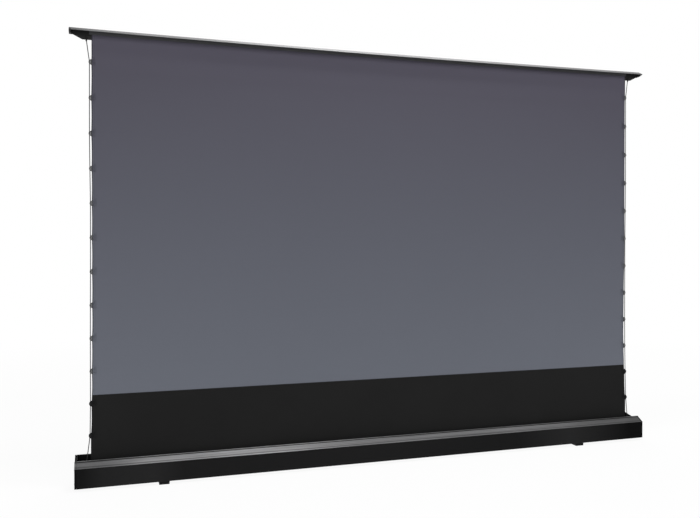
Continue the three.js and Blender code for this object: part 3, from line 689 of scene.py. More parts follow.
# The fabric's outline: tabs hold its edge, which draws in a little between them
tabs = {
    "count": 12,
    "firstDrop": 0.0905,  # highest tab below the picture's top edge
    "firstPitch": 0.1255,
    "lastPitch": 0.113,
    "cordInset": 0.0073,  # cord's place from a tab's root
    "besidePicture": 0.86,  # size there as a share of that beside the drop
    "cornerCut": 0.25,  # share of each side
    "cornerCuts": 2,  # times that each corner is cut
    "layers": ((0.58, 0.0012), (0.64, 0.0020), (0.84, 0.0024), (1.0, 0.0017)),  # share, depth
}
# Upper half of a tab, from the fabric's edge outwards: out, up
tabForm = ((0.0004, 0.0120), (0.0030, 0.0110), (0.0068, 0.0088), (0.0100, 0.0064), (0.0119, 0.0030))
tabRibs = {
    "thickness": 0.0005,
    "height": 0.0015,
    "root": 0.0002,  # its end under the tab, out from the tab's root
    "reach": 0.0132,
    "tipShare": 1.5,  # height at the tip as a share of that at the root
    "topShare": 0.6,  # height at the top as a share of that at the fabric
    "fan": (  # each rib's middle: up at the root, up at the tip
        (0.0068, 0.0178), (0.0042, 0.0126), (0.0016, 0.0074),
        (-0.0012, 0.0022), (-0.0040, -0.0034), (-0.0066, -0.0090),
    ),
}
outline = {
    "drawIn": 0.0012,  # between two tabs
    "ripple": 0.0003,
    "rippleReach": 0.045,
}
# How far the fabric's edge stands out from a straight line, by height
edgeLines = {
    -1: (
        (0.042, 0.0065), (0.15, 0.0065), (0.25, 0.0047), (0.376, 0.0023), (0.65, 0.0004), (1.15, 0.0),
        (1.25, 0.0006), (1.4, 0.0002), (1.47, -0.0004), (1.52, -0.0016), (1.6, -0.0017),
    ),
    1: (
        (0.042, 0.0115), (0.15, 0.0115), (0.257, 0.0075), (0.33, 0.0045), (0.40, 0.0022), (0.47, 0.0006),
        (0.62, 0.0015), (0.84, 0.0045), (1.05, 0.003), (1.45, 0.0024), (1.6, 0.003),
    ),
}
# How far the cord stands out from the picture's straight edge where it passes a tab, by height
cordLines = {
    -1: (
        (0.18, 0.0090), (0.235, 0.0080), (0.30, 0.0072), (0.45, 0.0069), (0.66, 0.0060), (0.80, 0.0049),
        (1.00, 0.0042), (1.22, 0.0065), (1.32, 0.0060), (1.50, 0.0054),
    ),
    1: (
        (0.18, 0.0140), (0.21, 0.0130), (0.28, 0.0110), (0.32, 0.0088), (0.39, 0.0080), (0.48, 0.0068),
        (0.60, 0.0062), (0.87, 0.0060), (1.13, 0.0075), (1.30, 0.0065), (1.50, 0.0058),
    ),
}


def tabHeights():
    heights = [pictureTop - tabs["firstDrop"]]
    for pitch in evenly(tabs["firstPitch"], tabs["lastPitch"], tabs["count"] - 1):
        heights.append(heights[-1] - pitch)
    return heights


knobs = tabHeights()


def eased(share):
    share = min(1, max(0, share))
    return share * share * (3 - 2 * share)


# How far z is from one tab to the next, 0 at a tab; None outside the tabs
def betweenTabs(z):
    for upper, lower in zip(knobs, knobs[1:]):
        if lower <= z <= upper:
            return (upper - z) / (upper - lower)
    return None


def onLine(line, z):
    reach = line[0][1] if z < line[0][0] else line[-1][1]
    for (z0, out0), (z1, out1) in zip(line, line[1:]):
        if z0 <= z <= z1:
            reach = out0 + (out1 - out0) * eased((z - z0) / (z1 - z0))
    return halfPicture + reach


def edgeAt(side, z):
    share = betweenTabs(z)
    drawn = 0 if share is None else 4 * share * (1 - share) * outline["drawIn"]
    return onLine(edgeLines[side], z) - drawn


# Where a tab's root stands; the cord runs at a set distance from it
def tabRoot(side, z):
    return onLine(cordLines[side], z) - tabs["cordInset"]


def depthAt(distance, z):
    share = betweenTabs(z)
    if share is None:
        return 0
    fade = math.exp(-max(0, distance) / outline["rippleReach"])
    return outline["ripple"] * fade * math.cos(math.tau * share)


# y behind the fabric's rear face, along its ripple
def behindFabric(gap, distance, z):
    return fabricPlane + sheetSizes["thickness"] / 2 + gap + depthAt(distance, z)


edgeColumns = (0, 0.0015, 0.0032, 0.0038, 0.0072, 0.0082, 0.0103, 0.0135, 0.02, 0.035, 0.06, 0.1)
sheetSizes = {
    "thickness": 0.0004,
    "rowStep": 0.0095,
    "columnStep": 0.08,
}


# x of each column at height z, and its distance from the nearer edge
def sheetColumns(z):
    reach = edgeColumns[-1]
    edges = {}
    for side in (-1, 1):
        gap = halfPicture - edgeAt(side, z)
        edges[side] = [(side * (halfPicture - d - gap * (1 - d / reach)), d) for d in edgeColumns]
    inner = halfPicture - reach
    count = round(2 * inner / sheetSizes["columnStep"])
    middle = [(x, halfPicture - abs(x)) for x in evenly(-inner, inner, count + 1)[1:-1]]
    return edges[-1] + middle + edges[1][::-1]


# A thin closed sheet: two skins of rows of equally many points, and the rim between them
def skinsPart(front, rear, columns, rearKind=0):
    rows = len(front) // columns
    last = (rows - 1) * columns
    start = last + columns
    faces = ringFaces(rows, columns, closed=False, caps=False)
    kinds = [0] * len(faces)
    faces += [[start + corner for corner in reversed(face)] for face in faces]
    border = list(range(columns))
    border += [row * columns + columns - 1 for row in range(1, rows)]
    border += [last + column for column in range(columns - 2, -1, -1)]
    border += [row * columns for row in range(rows - 2, 0, -1)]
    faces += [(b, a, a + start, b + start) for a, b in zip(border, border[1:] + border[:1])]
    return front + rear, faces, kinds + [rearKind] * (len(faces) - len(kinds))


# Fabric held flat between two heights
def sheetPiece(name, low, high, finishes):
    heights = evenly(low, high, round((high - low) / sheetSizes["rowStep"]) + 1)
    half = sheetSizes["thickness"] / 2
    spots = [(x, distance, z) for z in heights for x, distance in sheetColumns(z)]
    front, rear = [
        [(x, fabricPlane + offset + depthAt(distance, z), z) for x, distance, z in spots]
        for offset in (-half, half)
    ]
    parts = [skinsPart(front, rear, len(sheetColumns(low)), 1)]
    piece = makePiece(name, parts, finishes, "case")
    mark = piece.data.attributes.new("edgeDistance", "FLOAT", "POINT")
    mark.data.foreach_set("value", [distance for x, distance, z in spots] * 2)
    return piece


def foldWithLift(piece):
    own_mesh(piece)


# A tab's outline with its corners rounded off
def tabOutline():
    loop = list(tabForm) + [(out, -up) for out, up in reversed(tabForm)]
    cut = tabs["cornerCut"]
    for times in range(tabs["cornerCuts"]):
        pairs = zip(loop, loop[1:] + loop[:1])
        shares = ((1 - cut, cut), (cut, 1 - cut))
        loop = [(p * a + q * c, p * b + q * d) for (a, b), (c, d) in pairs for p, q in shares]
    return loop


tabLoop = tabOutline()


# One tab: a moulded body with a rim round a shallow dish, across the fabric's plane
def tabPart(side, z, size, rimKind, dishKind):
    edge = tabRoot(side, z)
    middle = (tabForm[0][0] + tabForm[-1][0]) / 2
    layers = [(share, -depth) for share, depth in tabs["layers"]]
    layers += [(share, depth) for share, depth in reversed(tabs["layers"])]
    points = []
    for share, depth in layers:
        for out, up in tabLoop:
            x = side * (edge + size * (middle + share * (out - middle)))
            points.append((x, fabricPlane + depth, z + size * share * up))
    points, faces, kinds = ringPart(points, len(tabLoop), rimKind)
    return points, faces, kinds[:-2] + [dishKind] * 2


hemBand = {
    "width": 0.010,
    "thickness": 0.0006,
    "gap": 0.0002,
}


# The ribs that fan from a tab over the hem, on both faces of the fabric
def ribParts(side, z, frontKind, rearKind):
    parts = []
    edge = tabRoot(side, z)
    half = tabRibs["height"] / 2
    for face, kind in ((-1, frontKind), (1, rearKind)):
        near = fabricPlane + face * (sheetSizes["thickness"] / 2 + outline["ripple"])
        if face > 0:
            near += hemBand["thickness"] + hemBand["gap"]
        far = near + face * tabRibs["thickness"]
        for root, tip in tabRibs["fan"]:
            ends = (
                (tabRibs["root"], root, half, (-1, 1)),
                (-tabRibs["reach"], tip, half * tabRibs["tipShare"], (1, -1)),
            )
            points = []
            for y, narrow in ((near, 1), (far, tabRibs["topShare"])):
                for out, up, reach, turns in ends:
                    x = side * (edge + out)
                    points += [(x, y, z + up + turn * narrow * reach) for turn in turns]
            parts.append(ringPart(points, 4, kind))
    return parts


# Finishes of a tab strip, and the kinds of face that take them
stripFinishes = [hemBlack, blackPlastic, tabRim, tabGray, ribGray]
hemKind, dropKind, rimKind, dishKind, ribKind = range(len(stripFinishes))


# Welded hem behind the fabric's edge, and the tabs
def tabStrip(side):
    rows = round((stripTop - fabricBottom) / sheetSizes["rowStep"]) + 1
    points = []
    for z in evenly(fabricBottom, stripTop, rows):
        edge = edgeAt(side, z)
        front = behindFabric(hemBand["gap"], 0, z)
        rear = front + hemBand["thickness"]
        inner = edge - hemBand["width"]
        section = ((inner, front), (edge, front), (edge, rear), (inner, rear))
        points += [(side * x, y, z) for x, y in section]
    parts = [ringPart(points, 4, hemKind)]
    for z in knobs:
        if z < seamHeight:
            parts.append(tabPart(side, z, 1, dropKind, dropKind))
            parts += ribParts(side, z, dropKind, dropKind)
        else:
            parts.append(tabPart(side, z, tabs["besidePicture"], rimKind, dishKind))
            parts += ribParts(side, z, ribKind, rimKind)
    return parts


cordSizes = {
    "radius": 0.0015,
    "strands": 3,
    "lay": 0.014,  # length of one turn of the strands
    "furrow": 0.12,
    "topOffset": 0.0155,  # beyond the picture's edge, at the top bar
    "station": 0.003,  # between two rings of the mesh
    "pathStep": 0.065,
    "around": 12,
    "smooth": 60,
}


# The cord's places at its two ends and at the tabs
def cordStops(name, side):
    low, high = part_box(name + "_tension_cord")
    outerEnd = max(abs(low.x), abs(high.x)) - cordSizes["radius"]
    stops = [(halfPicture + cordSizes["topOffset"], high.z)]
    stops += [(onLine(cordLines[side], z), z) for z in knobs]
    stops.append((outerEnd, low.z))
    return [Vector((side * x, fabricPlane, z)) for x, z in stops]


# A route with points added between its stops, closer than a step
def divided(stops, step):
    route = []
    for near, far in zip(stops, stops[1:]):
        count = math.ceil((far - near).length / step)
        route += [near.lerp(far, index / count) for index in range(count)]
    return route + [stops[-1]]


def routeLength(route):
    return sum(math.dist(a, b) for a, b in zip(route, route[1:]))


def cordRadius(distance, angle):
    turn = angle - math.tau * distance / cordSizes["lay"]
    return cordSizes["radius"] * (1 + cordSizes["furrow"] * math.cos(cordSizes["strands"] * turn) / 2)


for name, side in sides.items():
    stops = cordStops(name, side)
    route = divided(stops, cordSizes["pathStep"])
    parts = [tube(divided(stops, cordSizes["station"]), cordRadius, cordSizes["around"])]
    cord = makePiece(name + "Cord", parts, [cordPolyester], "case", cordSizes["smooth"])
    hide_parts(name + "_tension_cord")
    foldWithLift(cord)

for name, side in sides.items():
    strip = makePiece(name + "TabStrip", tabStrip(side), stripFinishes, "case")
    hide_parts(name + "_tab_strip")
    foldWithLift(strip)

picture = sheetPiece("pictureSheet", seamHeight, pictureHigh.z, [greyFabric, fabricBack])
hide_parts("picture_fabric")
foldWithLift(picture)

drop = sheetPiece("dropSheet", fabricBottom, seamHeight, [blackFabric, fabricBack])
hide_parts("black_drop")
foldWithLift(drop)

# Strip welded over the seam of the picture and the drop, on the rear
seamWeld = {
    "half": 0.007,
    "thickness": 0.0004,
    "gap": 0.0002,
    "short": 0.012,  # from the fabric's edges, clear of the hems
}


def seamPart():
    heights = [seamHeight + seamWeld["half"] * row for row in (-1, 0, 1)]
    columns = [(x, d) for x, d in sheetColumns(seamHeight) if d > seamWeld["short"]]
    points = []
    for x, distance in columns:
        front = [(x, behindFabric(seamWeld["gap"], distance, z), z) for z in heights]
        points += front + [(x, y + seamWeld["thickness"], z) for x, y, z in reversed(front)]
    return ringPart(points, 2 * len(heights))


seam = makePiece("seamWeld", [seamPart()], [hemBlack], "case")
foldWithLift(seam)
print("fabric, tabs and cords made")

# Last turns of the drop round the roller tube, wound as one spiral
winding = {
    "turns": 5,
    "start": 0.0198,
    "pitch": 0.0004,
    "thickness": 0.00034,
    "steps": 48,  # to one turn
    "columns": 24,
}


def turnsPart():
    count = winding["turns"] * winding["steps"]
    columns = winding["columns"] + 1
    skins = []
    for offset in (0, winding["thickness"]):
        skin = []
        for index in range(count + 1):
            angle = math.tau * index / winding["steps"]
            radius = winding["start"] + winding["pitch"] * index / winding["steps"] + offset
            y = rollerAxis.y + radius * math.cos(angle)
            z = rollerAxis.z - radius * math.sin(angle)
            skin += [(x, y, z) for x in evenly(-halfPicture, halfPicture, columns)]
        skins.append(skin)
    return skinsPart(*skins, columns)


turns = makePiece("fabricTurns", [turnsPart()], [blackFabric], "roller")
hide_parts("fabric_wraps")

# Pile strip along the front of the slot, a flat back and a rounded front swept along the case
slotFelt = {
    "section": (  # out, up
        (0, 0), (0.0007, 0.0003), (0.0011, 0.0015), (0.0012, 0.0040),
        (0.0011, 0.0066), (0.0006, 0.0078), (0, 0.0080),
    ),
    "clear": 0.0001,
    "drop": 0.0085,  # its lower edge below the trim's top
    "stations": 120,
    "wave": 0.0001,
    "waveStep": 2.4,  # radians from one station to the next
    "waveFrom": 0.001,  # points that stand out further than this take part
    "crest": 0.0002,  # the trim's corners within this of its top are its crest
}
crestRear = max(corner.y for corner in cornersOf("slope_trim") if corner.z > trimTop - slotFelt["crest"])
feltBack = crestRear + slotFelt["clear"]
feltFoot = trimTop - slotFelt["drop"]
points = []
for index, x in enumerate(evenly(-halfPicture, halfPicture, slotFelt["stations"])):
    swell = slotFelt["wave"] * math.sin(slotFelt["waveStep"] * index)
    for out, up in slotFelt["section"]:
        proud = out + swell if out > slotFelt["waveFrom"] else out
        points.append((x, feltBack + proud, feltFoot + up))
parts = [ringPart(points, len(slotFelt["section"]))]
makePiece("slotFelt", parts, [blackFelt], "case")

# Foam strips inside the rear cover's two ends, across the joint with the end caps
coverSeal = {
    "section": (  # inwards, forwards
        (0, 0), (0.0012, -0.0006), (0.0040, -0.0008), (0.0064, -0.0005), (0.0072, 0),
    ),
    "clear": 0.0001,
    "wall": 0.002,  # the cover's
    "span": (0.0172, 0.0978),  # heights
    "stations": 24,
    "wave": 0.00008,
    "waveStep": 2.1,
}
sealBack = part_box("rear_cover")[1].y - coverSeal["wall"] - coverSeal["clear"]
sealDepth = max(-forwards for inwards, forwards in coverSeal["section"])
for name, side in sides.items():
    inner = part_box(name + "_end_cap")[1 if side < 0 else 0].x
    points = []
    for index, z in enumerate(evenly(*coverSeal["span"], coverSeal["stations"])):
        swell = 1 + coverSeal["wave"] * math.sin(coverSeal["waveStep"] * index) / sealDepth
        for inwards, forwards in coverSeal["section"]:
            x = inner - side * (coverSeal["clear"] + inwards)
            points.append((x, sealBack + forwards * swell, z))
    parts = [ringPart(points, len(coverSeal["section"]))]
    makePiece(name + "CoverSeal", parts, [blackFelt], "case")

# The motor's lead, over the roller's rear to the terminal block: its points from its start
leadPoints = (
    (0, 0, 0), (0, 0.0011, 0.0057), (0, 0.0044, 0.0106), (-0.0002, 0.0093, 0.0139),
    (-0.0006, 0.0150, 0.0150), (-0.0012, 0.0207, 0.0139), (-0.0020, 0.0256, 0.0106),
    (-0.0044, 0.0341, 0.0021), (-0.0072, 0.0426, -0.0064), (-0.0092, 0.0461, -0.0116),
    (-0.0106, 0.0473, -0.0177), (-0.0114, 0.0473, -0.0247), (-0.0118, 0.0473, -0.0316),
)
lead = {
    "radius": 0.002,
    "steps": 6,  # between two points
    "fromEnd": 0.0035,  # from the motor head's outer face
    "clear": 0.0003,
    "around": 16,
    "smooth": 60,
}


# Points of a smooth curve through the given ones
def smoothed(stops, steps):
    stops = [Vector(stop) for stop in stops]
    first = 2 * stops[0] - stops[1]
    last = 2 * stops[-1] - stops[-2]
    guide = [first] + stops + [last]
    route = []
    for a, b, c, d in zip(guide, guide[1:], guide[2:], guide[3:]):
        for step in range(steps):
            t = step / steps
            pull = (c - a) * t + (2 * a - 5 * b + 4 * c - d) * t ** 2 + (3 * b - a - 3 * c + d) * t ** 3
            route.append(b + pull / 2)
    route.append(stops[-1])
    return route


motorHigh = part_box("tubular_motor")[1]
leadStart = Vector((motorHigh.x - lead["fromEnd"], rollerAxis.y, motorHigh.z + lead["clear"]))
route = smoothed([leadStart + Vector(point) for point in leadPoints], lead["steps"])
parts = [tube(route, lambda distance, angle: lead["radius"], lead["around"])]
leadPiece = makePiece("motorLead", parts, [leadSheath], "case", lead["smooth"])
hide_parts("motor_lead")
print("roller dressed, lead", round(routeLength(route), 4), "m")

# Gas springs in the lower arms: a dark cylinder, a bright rod and a fitting at each end
springParts = {
    "from": 0.07,  # shares of the arm's length
    "to": 0.6,
    "clear": 0.0003,
    "cylinder": 0.6,  # share of the spring
    "around": 24,
    "rodAround": 20,
    # Radius, and place from the spring's start
    "foot": (
        (0.0030, 0), (0.0040, 0.0008), (0.0042, 0.010), (0.0030, 0.012), (0.0030, 0.013),
        (0.0049, 0.0138), (0.0055, 0.015),
    ),
    # Radius, and place from the cylinder's end
    "collar": (
        (0.0055, -0.014), (0.0048, -0.0125), (0.0048, -0.011), (0.0055, -0.0095), (0.0055, -0.003),
        (0.0043, 0), (0.0027, 0.0006),
    ),
    # Radius, and place from the spring's far end
    "head": ((0.0025, -0.012), (0.0034, -0.0114), (0.0042, -0.010), (0.0042, -0.002), (0.0030, 0)),
}


def springPiece(name, shoulder, elbow):
    base = Vector(joints[shoulder]["pos_m"])
    knee = Vector(joints[elbow]["pos_m"])
    reach = (knee - base).length
    direction = (knee - base).normalized()
    start = base + direction * (reach * springParts["from"] + springParts["clear"])
    start.y = midOf(name + "_gas_spring").y
    span = reach * (springParts["to"] - springParts["from"]) - 2 * springParts["clear"]
    neck = span * springParts["cylinder"]
    collar = [(radius, neck + place) for radius, place in springParts["collar"]]
    head = [(radius, span + place) for radius, place in springParts["head"]]
    cylinder = [*springParts["foot"], *collar]
    rod = [(head[0][0], neck), *head]
    parts = [
        turned(cylinder, start, direction, springParts["around"]),
        turned(rod, start, direction, springParts["rodAround"], kind=1),
    ]
    finishes = [armPaint, zincSteel]
    spring = makePiece(name + "GasSpring", parts, finishes, name + "_lower_arm")
    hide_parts(name + "_gas_spring")


springPiece("left", "lift", "left_elbow")
springPiece("right", "right_shoulder", "right_elbow")

# Domed caps over the knee pins' heads
kneeCap = {
    "dome": ((0.0066, 0), (0.0066, 0.0006), (0.0058, 0.0012), (0.0036, 0.0016), (0.0004, 0.0017)),
    "around": 28,
}
for name in sides:
    centre = midOf(name + "_knee_pin")
    centre.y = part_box(name + "_knee_pin")[1].y
    parts = [turned(kneeCap["dome"], centre, (0, 1, 0), kneeCap["around"])]
    makePiece(name + "KneeCap", parts, [blackPlastic], name + "_upper_arm")

# Rivets along the rear of the hanger rail
railRivets = {
    "head": ((0.0030, 0), (0.0030, 0.0003), (0.0024, 0.0008), (0.0012, 0.0011), (0.0003, 0.0012)),
    "each": 9,  # on each side of the middle
    "spacing": 0.116,
    "drop": 0.014,  # below the top of the lid
    "railThickness": 0.003,
    "around": 16,
}
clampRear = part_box("clamp_strip")[1].y
railRear = clampRear + 2 * (fabricPlane - clampRear) + railRivets["railThickness"]
parts = []
for index in range(-railRivets["each"], railRivets["each"] + 1):
    x = index * railRivets["spacing"]
    z = barTop - railRivets["drop"] + barRise(x)
    parts.append(turned(railRivets["head"], (x, railRear, z), (0, 1, 0), railRivets["around"]))
makePiece("railRivets", parts, [zincSteel], "top_bar")

# Clamp plates for the cords' top ends, each with a sleeve that the cord leaves by
cordClamp = {
    "half": 0.0042,
    "thickness": 0.0009,
    "bevel": 0.0003,
    "lift": 0.0052,  # plate's middle above the rail's lower edge
    "screw": {"radius": 0.0024, "height": 0.0012},
    "sleeve": (
        (0.0017, 0), (0.0024, 0.0004), (0.0026, 0.0012),
        (0.0026, 0.0052), (0.0022, 0.006), (0.0017, 0.006),
    ),
    "around": 20,
}


def clampPiece(name, side):
    face = min(corner.y for corner in cornersOf("hanger_rail"))
    x = side * (halfPicture + cordSizes["topOffset"])
    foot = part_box(name + "_tension_cord")[1].z
    z = foot + cordClamp["lift"]
    reach = cordClamp["half"]
    trim = cordClamp["bevel"]
    thick = cordClamp["thickness"]
    points = []
    for depth, half in ((0, reach), (thick - trim, reach), (thick, reach - trim)):
        points += [(x + across * half, face - depth, z + up * half) for across, up in squareCorners]
    screw = screwPart((x, face - thick, z), (0, -1, 0), cordClamp["screw"])
    sleeveFoot = foot - cordClamp["sleeve"][-1][1]
    sleeve = turned(cordClamp["sleeve"], (x, fabricPlane, sleeveFoot), (0, 0, 1), cordClamp["around"])
    parts = [ringPart(points, 4), screw, sleeve]
    makePiece(name + "CordClamp", parts, [blackPlastic], "top_bar")


for name, side in sides.items():
    clampPiece(name, side)

capScrews = {
    "radius": 0.0032,
    "height": 0.001,
    "places": ((-0.042, 0.028), (0.060, 0.028), (0.060, 0.080), (-0.036, 0.074)),  # depth, height
}
for name, side in sides.items():
    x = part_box(name + "_end_cap")[0 if side < 0 else 1].x
    places = [(x, fabricPlane + depth, height) for depth, height in capScrews["places"]]
    screwPiece(name + "CapScrews", places, (side, 0, 0), capScrews, "case")

coverScrews = {
    "radius": 0.003,
    "height": 0.0011,
    "level": 0.022,
    "spacing": 0.3,
    "each": 3,  # on each side of the middle
}
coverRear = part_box("rear_cover")[1].y
steps = range(-coverScrews["each"], coverScrews["each"] + 1)
places = [(step * coverScrews["spacing"], coverRear, coverScrews["level"]) for step in steps]
screwPiece("coverScrews", places, (0, 1, 0), coverScrews, "case")

plateScrews = {
    "radius": 0.0022,
    "height": 0.0009,
    "inset": 0.0045,
}
low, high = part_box("connector_plate")
inset = plateScrews["inset"]
across, up = (low.x + inset, high.x - inset), (low.z + inset, high.z - inset)
places = [(x, high.y, z) for x in across for z in up]
screwPiece("plateScrews", places, (0, 1, 0), plateScrews, "case")

flangeScrews = {
    "radius": 0.0024,
    "height": 0.0014,
    "spread": 0.0165,  # from the pivot, along the case
    "flange": 0.0027,  # a bracket's, in thickness
}
for name in sides:
    for where, body, up in (("base", "case", 1), ("top", "top_bar", -1)):
        bracket = name + "_" + where + "_bracket"
        centre = midOf(bracket)
        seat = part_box(bracket)[0 if up > 0 else 1].z + up * flangeScrews["flange"]
        places = [(centre.x + step * flangeScrews["spread"], centre.y, seat) for step in (-1, 1)]
        screwPiece(name + where.capitalize() + "Screws", places, (0, 0, up), flangeScrews, body)
print("screws made")

# Plain on and off marks on the power rocker, on its two faces
rockerMarks = {
    "tilt": -7,  # degrees that the rocker leans at rest
    "level": 0.0024,  # each mark's middle from the rocker's middle
    "face": 0.00445,  # rocker's face in front of its pivot, there
    "slant": -14.3,  # degrees that each face leans from the rocker's middle
    "height": 0.00025,
    "bar": 0.0011,
    "ringRadius": 0.0011,
    "line": 0.0003,
    "sunk": 0.0002,
    "around": 24,
}


# A mark's points (x, z, height) set on one half of the rocker's face
def rockerMark(spots, up):
    lean = Matrix.Rotation(math.radians(rockerMarks["tilt"]), 4, "X")
    face = Matrix.Rotation(math.radians(up * rockerMarks["slant"]), 4, "X")
    middle = Vector((0, rockerMarks["face"], up * rockerMarks["level"]))
    pivot = Vector(joints["power_switch"]["pos_m"])
    return [pivot + lean @ (face @ Vector((x, out, z)) + middle) for x, z, out in spots]


def marksPiece():
    half = rockerMarks["line"]
    tall = rockerMarks["bar"]
    low, high = -rockerMarks["sunk"], rockerMarks["height"]
    bar = [(x * half, z * tall, out) for out in (low, high) for x, z in squareCorners]
    inner, outer = rockerMarks["ringRadius"] - half, rockerMarks["ringRadius"] + half
    count = rockerMarks["around"]
    angles = [math.tau * k / count for k in range(count)]
    circle = []
    for radius, out in ((outer, low), (outer, high), (inner, high), (inner, low)):
        circle += [(radius * math.cos(angle), radius * math.sin(angle), out) for angle in angles]
    faces = ringFaces(4, count, caps=False)
    faces += [(3 * count + k, 3 * count + (k + 1) % count, (k + 1) % count, k) for k in range(count)]
    parts = [ringPart(rockerMark(bar, 1), 4), (rockerMark(circle, -1), faces, [0] * len(faces))]
    makePiece("rockerMarks", parts, [tabGray], "power_rocker")


marksPiece()


# The names of pieces that come in a left and a right one
def both(*names):
    return [side + "_" + name for name in names for side in sides]


boardCoat = {
    "dark": (0.006, 0.035, 0.014),
    "light": (0.010, 0.055, 0.022),
    "roughness": (0.35, 0.5),
    "grainSize": 0.003,
}
boardGreen = coated("boardGreen", **boardCoat)
# Carried-over solids and their finishes
carried = {
    frontShell: ["front_panel"],
    clampGray: ["clamp_strip"],
    blackShell: ["base_plate", "rear_cover", "lid_plate", *both("foot")],
    slopeSilver: ["slope_trim"],
    lidSilver: ["lid_front_trim"],
    endCapPlastic: both("end_cap"),
    lidCapPlastic: both("lid_cap"),
    railShell: ["hanger_rail"],
    blackPlastic: [
        *both("cord_spool"), "idler_plug", "drive_wheel", "connector_plate", "mains_inlet",
        "switch_frame", "power_rocker", "manual_button",
    ],
    zincSteel: [
        *both("foot_rivet", "base_bracket", "base_pin", "top_bracket", "top_pin", "knee_pin"),
        "motor_bracket", "idler_bracket", "idler_pin", "trigger_jack",
    ],
    armPaint: both("lower_arm", "upper_arm"),
    bareAluminium: ["roller_tube"],
    motorWhite: ["tubular_motor"],
    soleRubber: both("foot_sole"),
    boardGreen: ["control_board"],
}
for finish, names in carried.items():
    for name in names:
        mesh = frame["nodes"][name].data
        mesh.materials.clear()
        mesh.materials.append(finish)
        for face in mesh.polygons:
            face.material_index = 0
# The left end's slope, forwards and up, shows as silver as the trim beside it
slopeLean = 0.3  # least share of a face's normal that points each way
endMesh = frame["nodes"]["left_end_cap"].data
endMesh.materials.append(slopeSilver)
for face in endMesh.polygons:
    if min(-face.normal.y, face.normal.z) > slopeLean and face.center.y < crestRear:
        face.material_index = 1

# Edges eased on the pieces that show, by their widths in metres
easedEdges = {
    0.0012: both("end_cap", "lid_cap", "foot"),
    0.0006: ["front_panel", "rear_cover", "connector_plate", "power_rocker", "manual_button"],
    0.0004: both("top_bracket", "base_bracket"),
    0.0008: both("lower_arm", "upper_arm"),
}
easing = {
    "weld": 0.00001,
    "flatWithin": 1,  # degrees
    "sharpFrom": 32,  # degrees
    "steps": 2,
}
for width, names in easedEdges.items():
    for name in names:
        node = frame["nodes"][name]
        weld = node.modifiers.new("weld", "WELD")
        weld.merge_threshold = easing["weld"]
        flat = node.modifiers.new("flat", "DECIMATE")
        flat.decimate_type = "DISSOLVE"
        flat.angle_limit = math.radians(easing["flatWithin"])
        flat.delimit = {"MATERIAL"}
        edge = node.modifiers.new("edge", "BEVEL")
        edge.width = width
        edge.segments = easing["steps"]
        edge.limit_method = "ANGLE"
        edge.angle_limit = math.radians(easing["sharpFrom"])
        edge.harden_normals = True
print("solids finished")

# Floor, world and lamps
studio = {
    "floorSide": 60,
    "floorColor": 0.93,
    "floorGlow": 0.93,  # share of plain white in what the camera sees of the floor
    "worldFill": 0.4,
    "clearFrom": 1.5,  # metres from the middle where the floor starts to fade to plain white
    "clearTo": 4.5,
}


# 1 for what the camera sees, in gloss and through glass too
def seenShare(finish):
    rays = addNode(finish, "LightPath", {}).outputs
    mirrored = combined(finish, "MAXIMUM", rays["Is Camera Ray"], rays["Is Glossy Ray"])
    return combined(finish, "MAXIMUM", mirrored, rays["Is Transmission Ray"])


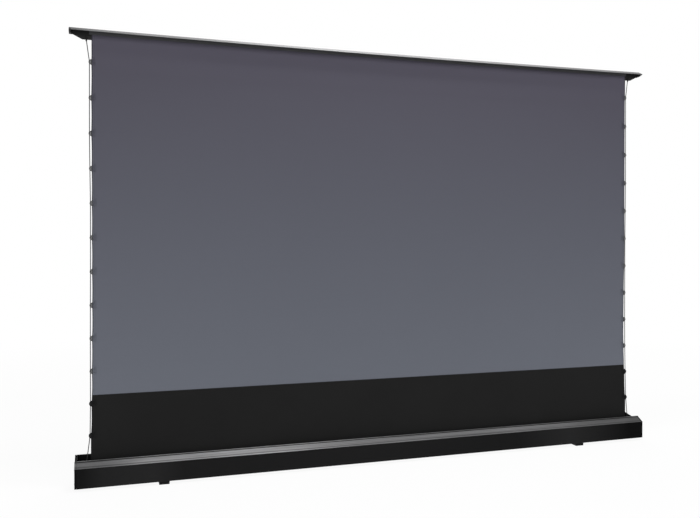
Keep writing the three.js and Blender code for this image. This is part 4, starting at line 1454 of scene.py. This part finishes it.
def addFloor():
    half = studio["floorSide"] / 2
    mesh = bpy.data.meshes.new("floor")
    mesh.from_pydata([(x * half, y * half, 0) for x, y in squareCorners], [], [(0, 1, 2, 3)])
    floor = bpy.data.objects.new("floor", mesh)
    bpy.context.scene.collection.objects.link(floor)
    finish = bpy.data.materials.new("paleFloor")
    finish.use_nodes = True
    tree = finish.node_tree
    tree.nodes.remove(tree.nodes["Principled BSDF"])
    lit = addNode(finish, "BsdfDiffuse", {"Color": (*gray(studio["floorColor"]), 1)})
    plain = addNode(finish, "Emission", {"Color": (1, 1, 1, 1), "Strength": 1})
    away = addNode(finish, "VectorMath", {0: ownPlace(finish)}, operation="LENGTH").outputs["Value"]
    fade = spread(finish, away, studio["floorGlow"], 1, (studio["clearFrom"], studio["clearTo"]))
    mix = addNode(finish, "MixShader", {"Fac": combined(finish, "MULTIPLY", seenShare(finish), fade)})
    tree.links.new(lit.outputs["BSDF"], mix.inputs[1])
    tree.links.new(plain.outputs["Emission"], mix.inputs[2])
    tree.links.new(mix.outputs["Shader"], tree.nodes["Material Output"].inputs["Surface"])
    mesh.materials.append(finish)


def addWorld():
    world = bpy.data.worlds.new("studio")
    bpy.context.scene.world = world
    world.use_nodes = True
    background = world.node_tree.nodes["Background"]
    background.inputs["Color"].default_value = (1, 1, 1, 1)
    fill = spread(world, seenShare(world), studio["worldFill"], 1, (0, 1))
    world.node_tree.links.new(fill, background.inputs["Strength"])


lamps = {
    "slopeLamp": {"place": (0.05, -0.55, 3.2), "aim": (0, -0.05, 0.1), "size": (0.7, 0.4), "watts": 30},
    "keyLamp": {"place": (0.3, -2.8, 3.2), "aim": (0, 0, 0.7), "size": (2.6, 1.4), "watts": 62},
    "fillLamp": {"place": (-3.4, -3.0, 1.6), "aim": (0, 0, 0.7), "size": (2.2, 2.2), "watts": 28},
    "rearLamp": {"place": (1.5, 3.2, 2.0), "aim": (0, 0, 0.8), "size": (2.4, 2.0), "watts": 45},
    "topLamp": {"place": (0.15, 1.1, 3.1), "aim": (0, 0, 0.9), "size": (0.9, 0.9), "watts": 5},
}


def addLamps():
    for name, lamp in lamps.items():
        light = bpy.data.lights.new(name, "AREA")
        light.shape = "RECTANGLE"
        light.size, light.size_y = lamp["size"]
        light.energy = lamp["watts"]
        bulb = bpy.data.objects.new(name, light)
        bulb.location = lamp["place"]
        aim = Vector(lamp["aim"]) - Vector(lamp["place"])
        bulb.rotation_euler = aim.to_track_quat("-Z", "Y").to_euler()
        bpy.context.scene.collection.objects.link(bulb)


addFloor()
addWorld()
addLamps()
bpy.context.scene.view_settings.view_transform = "Standard"
print("studio lit")
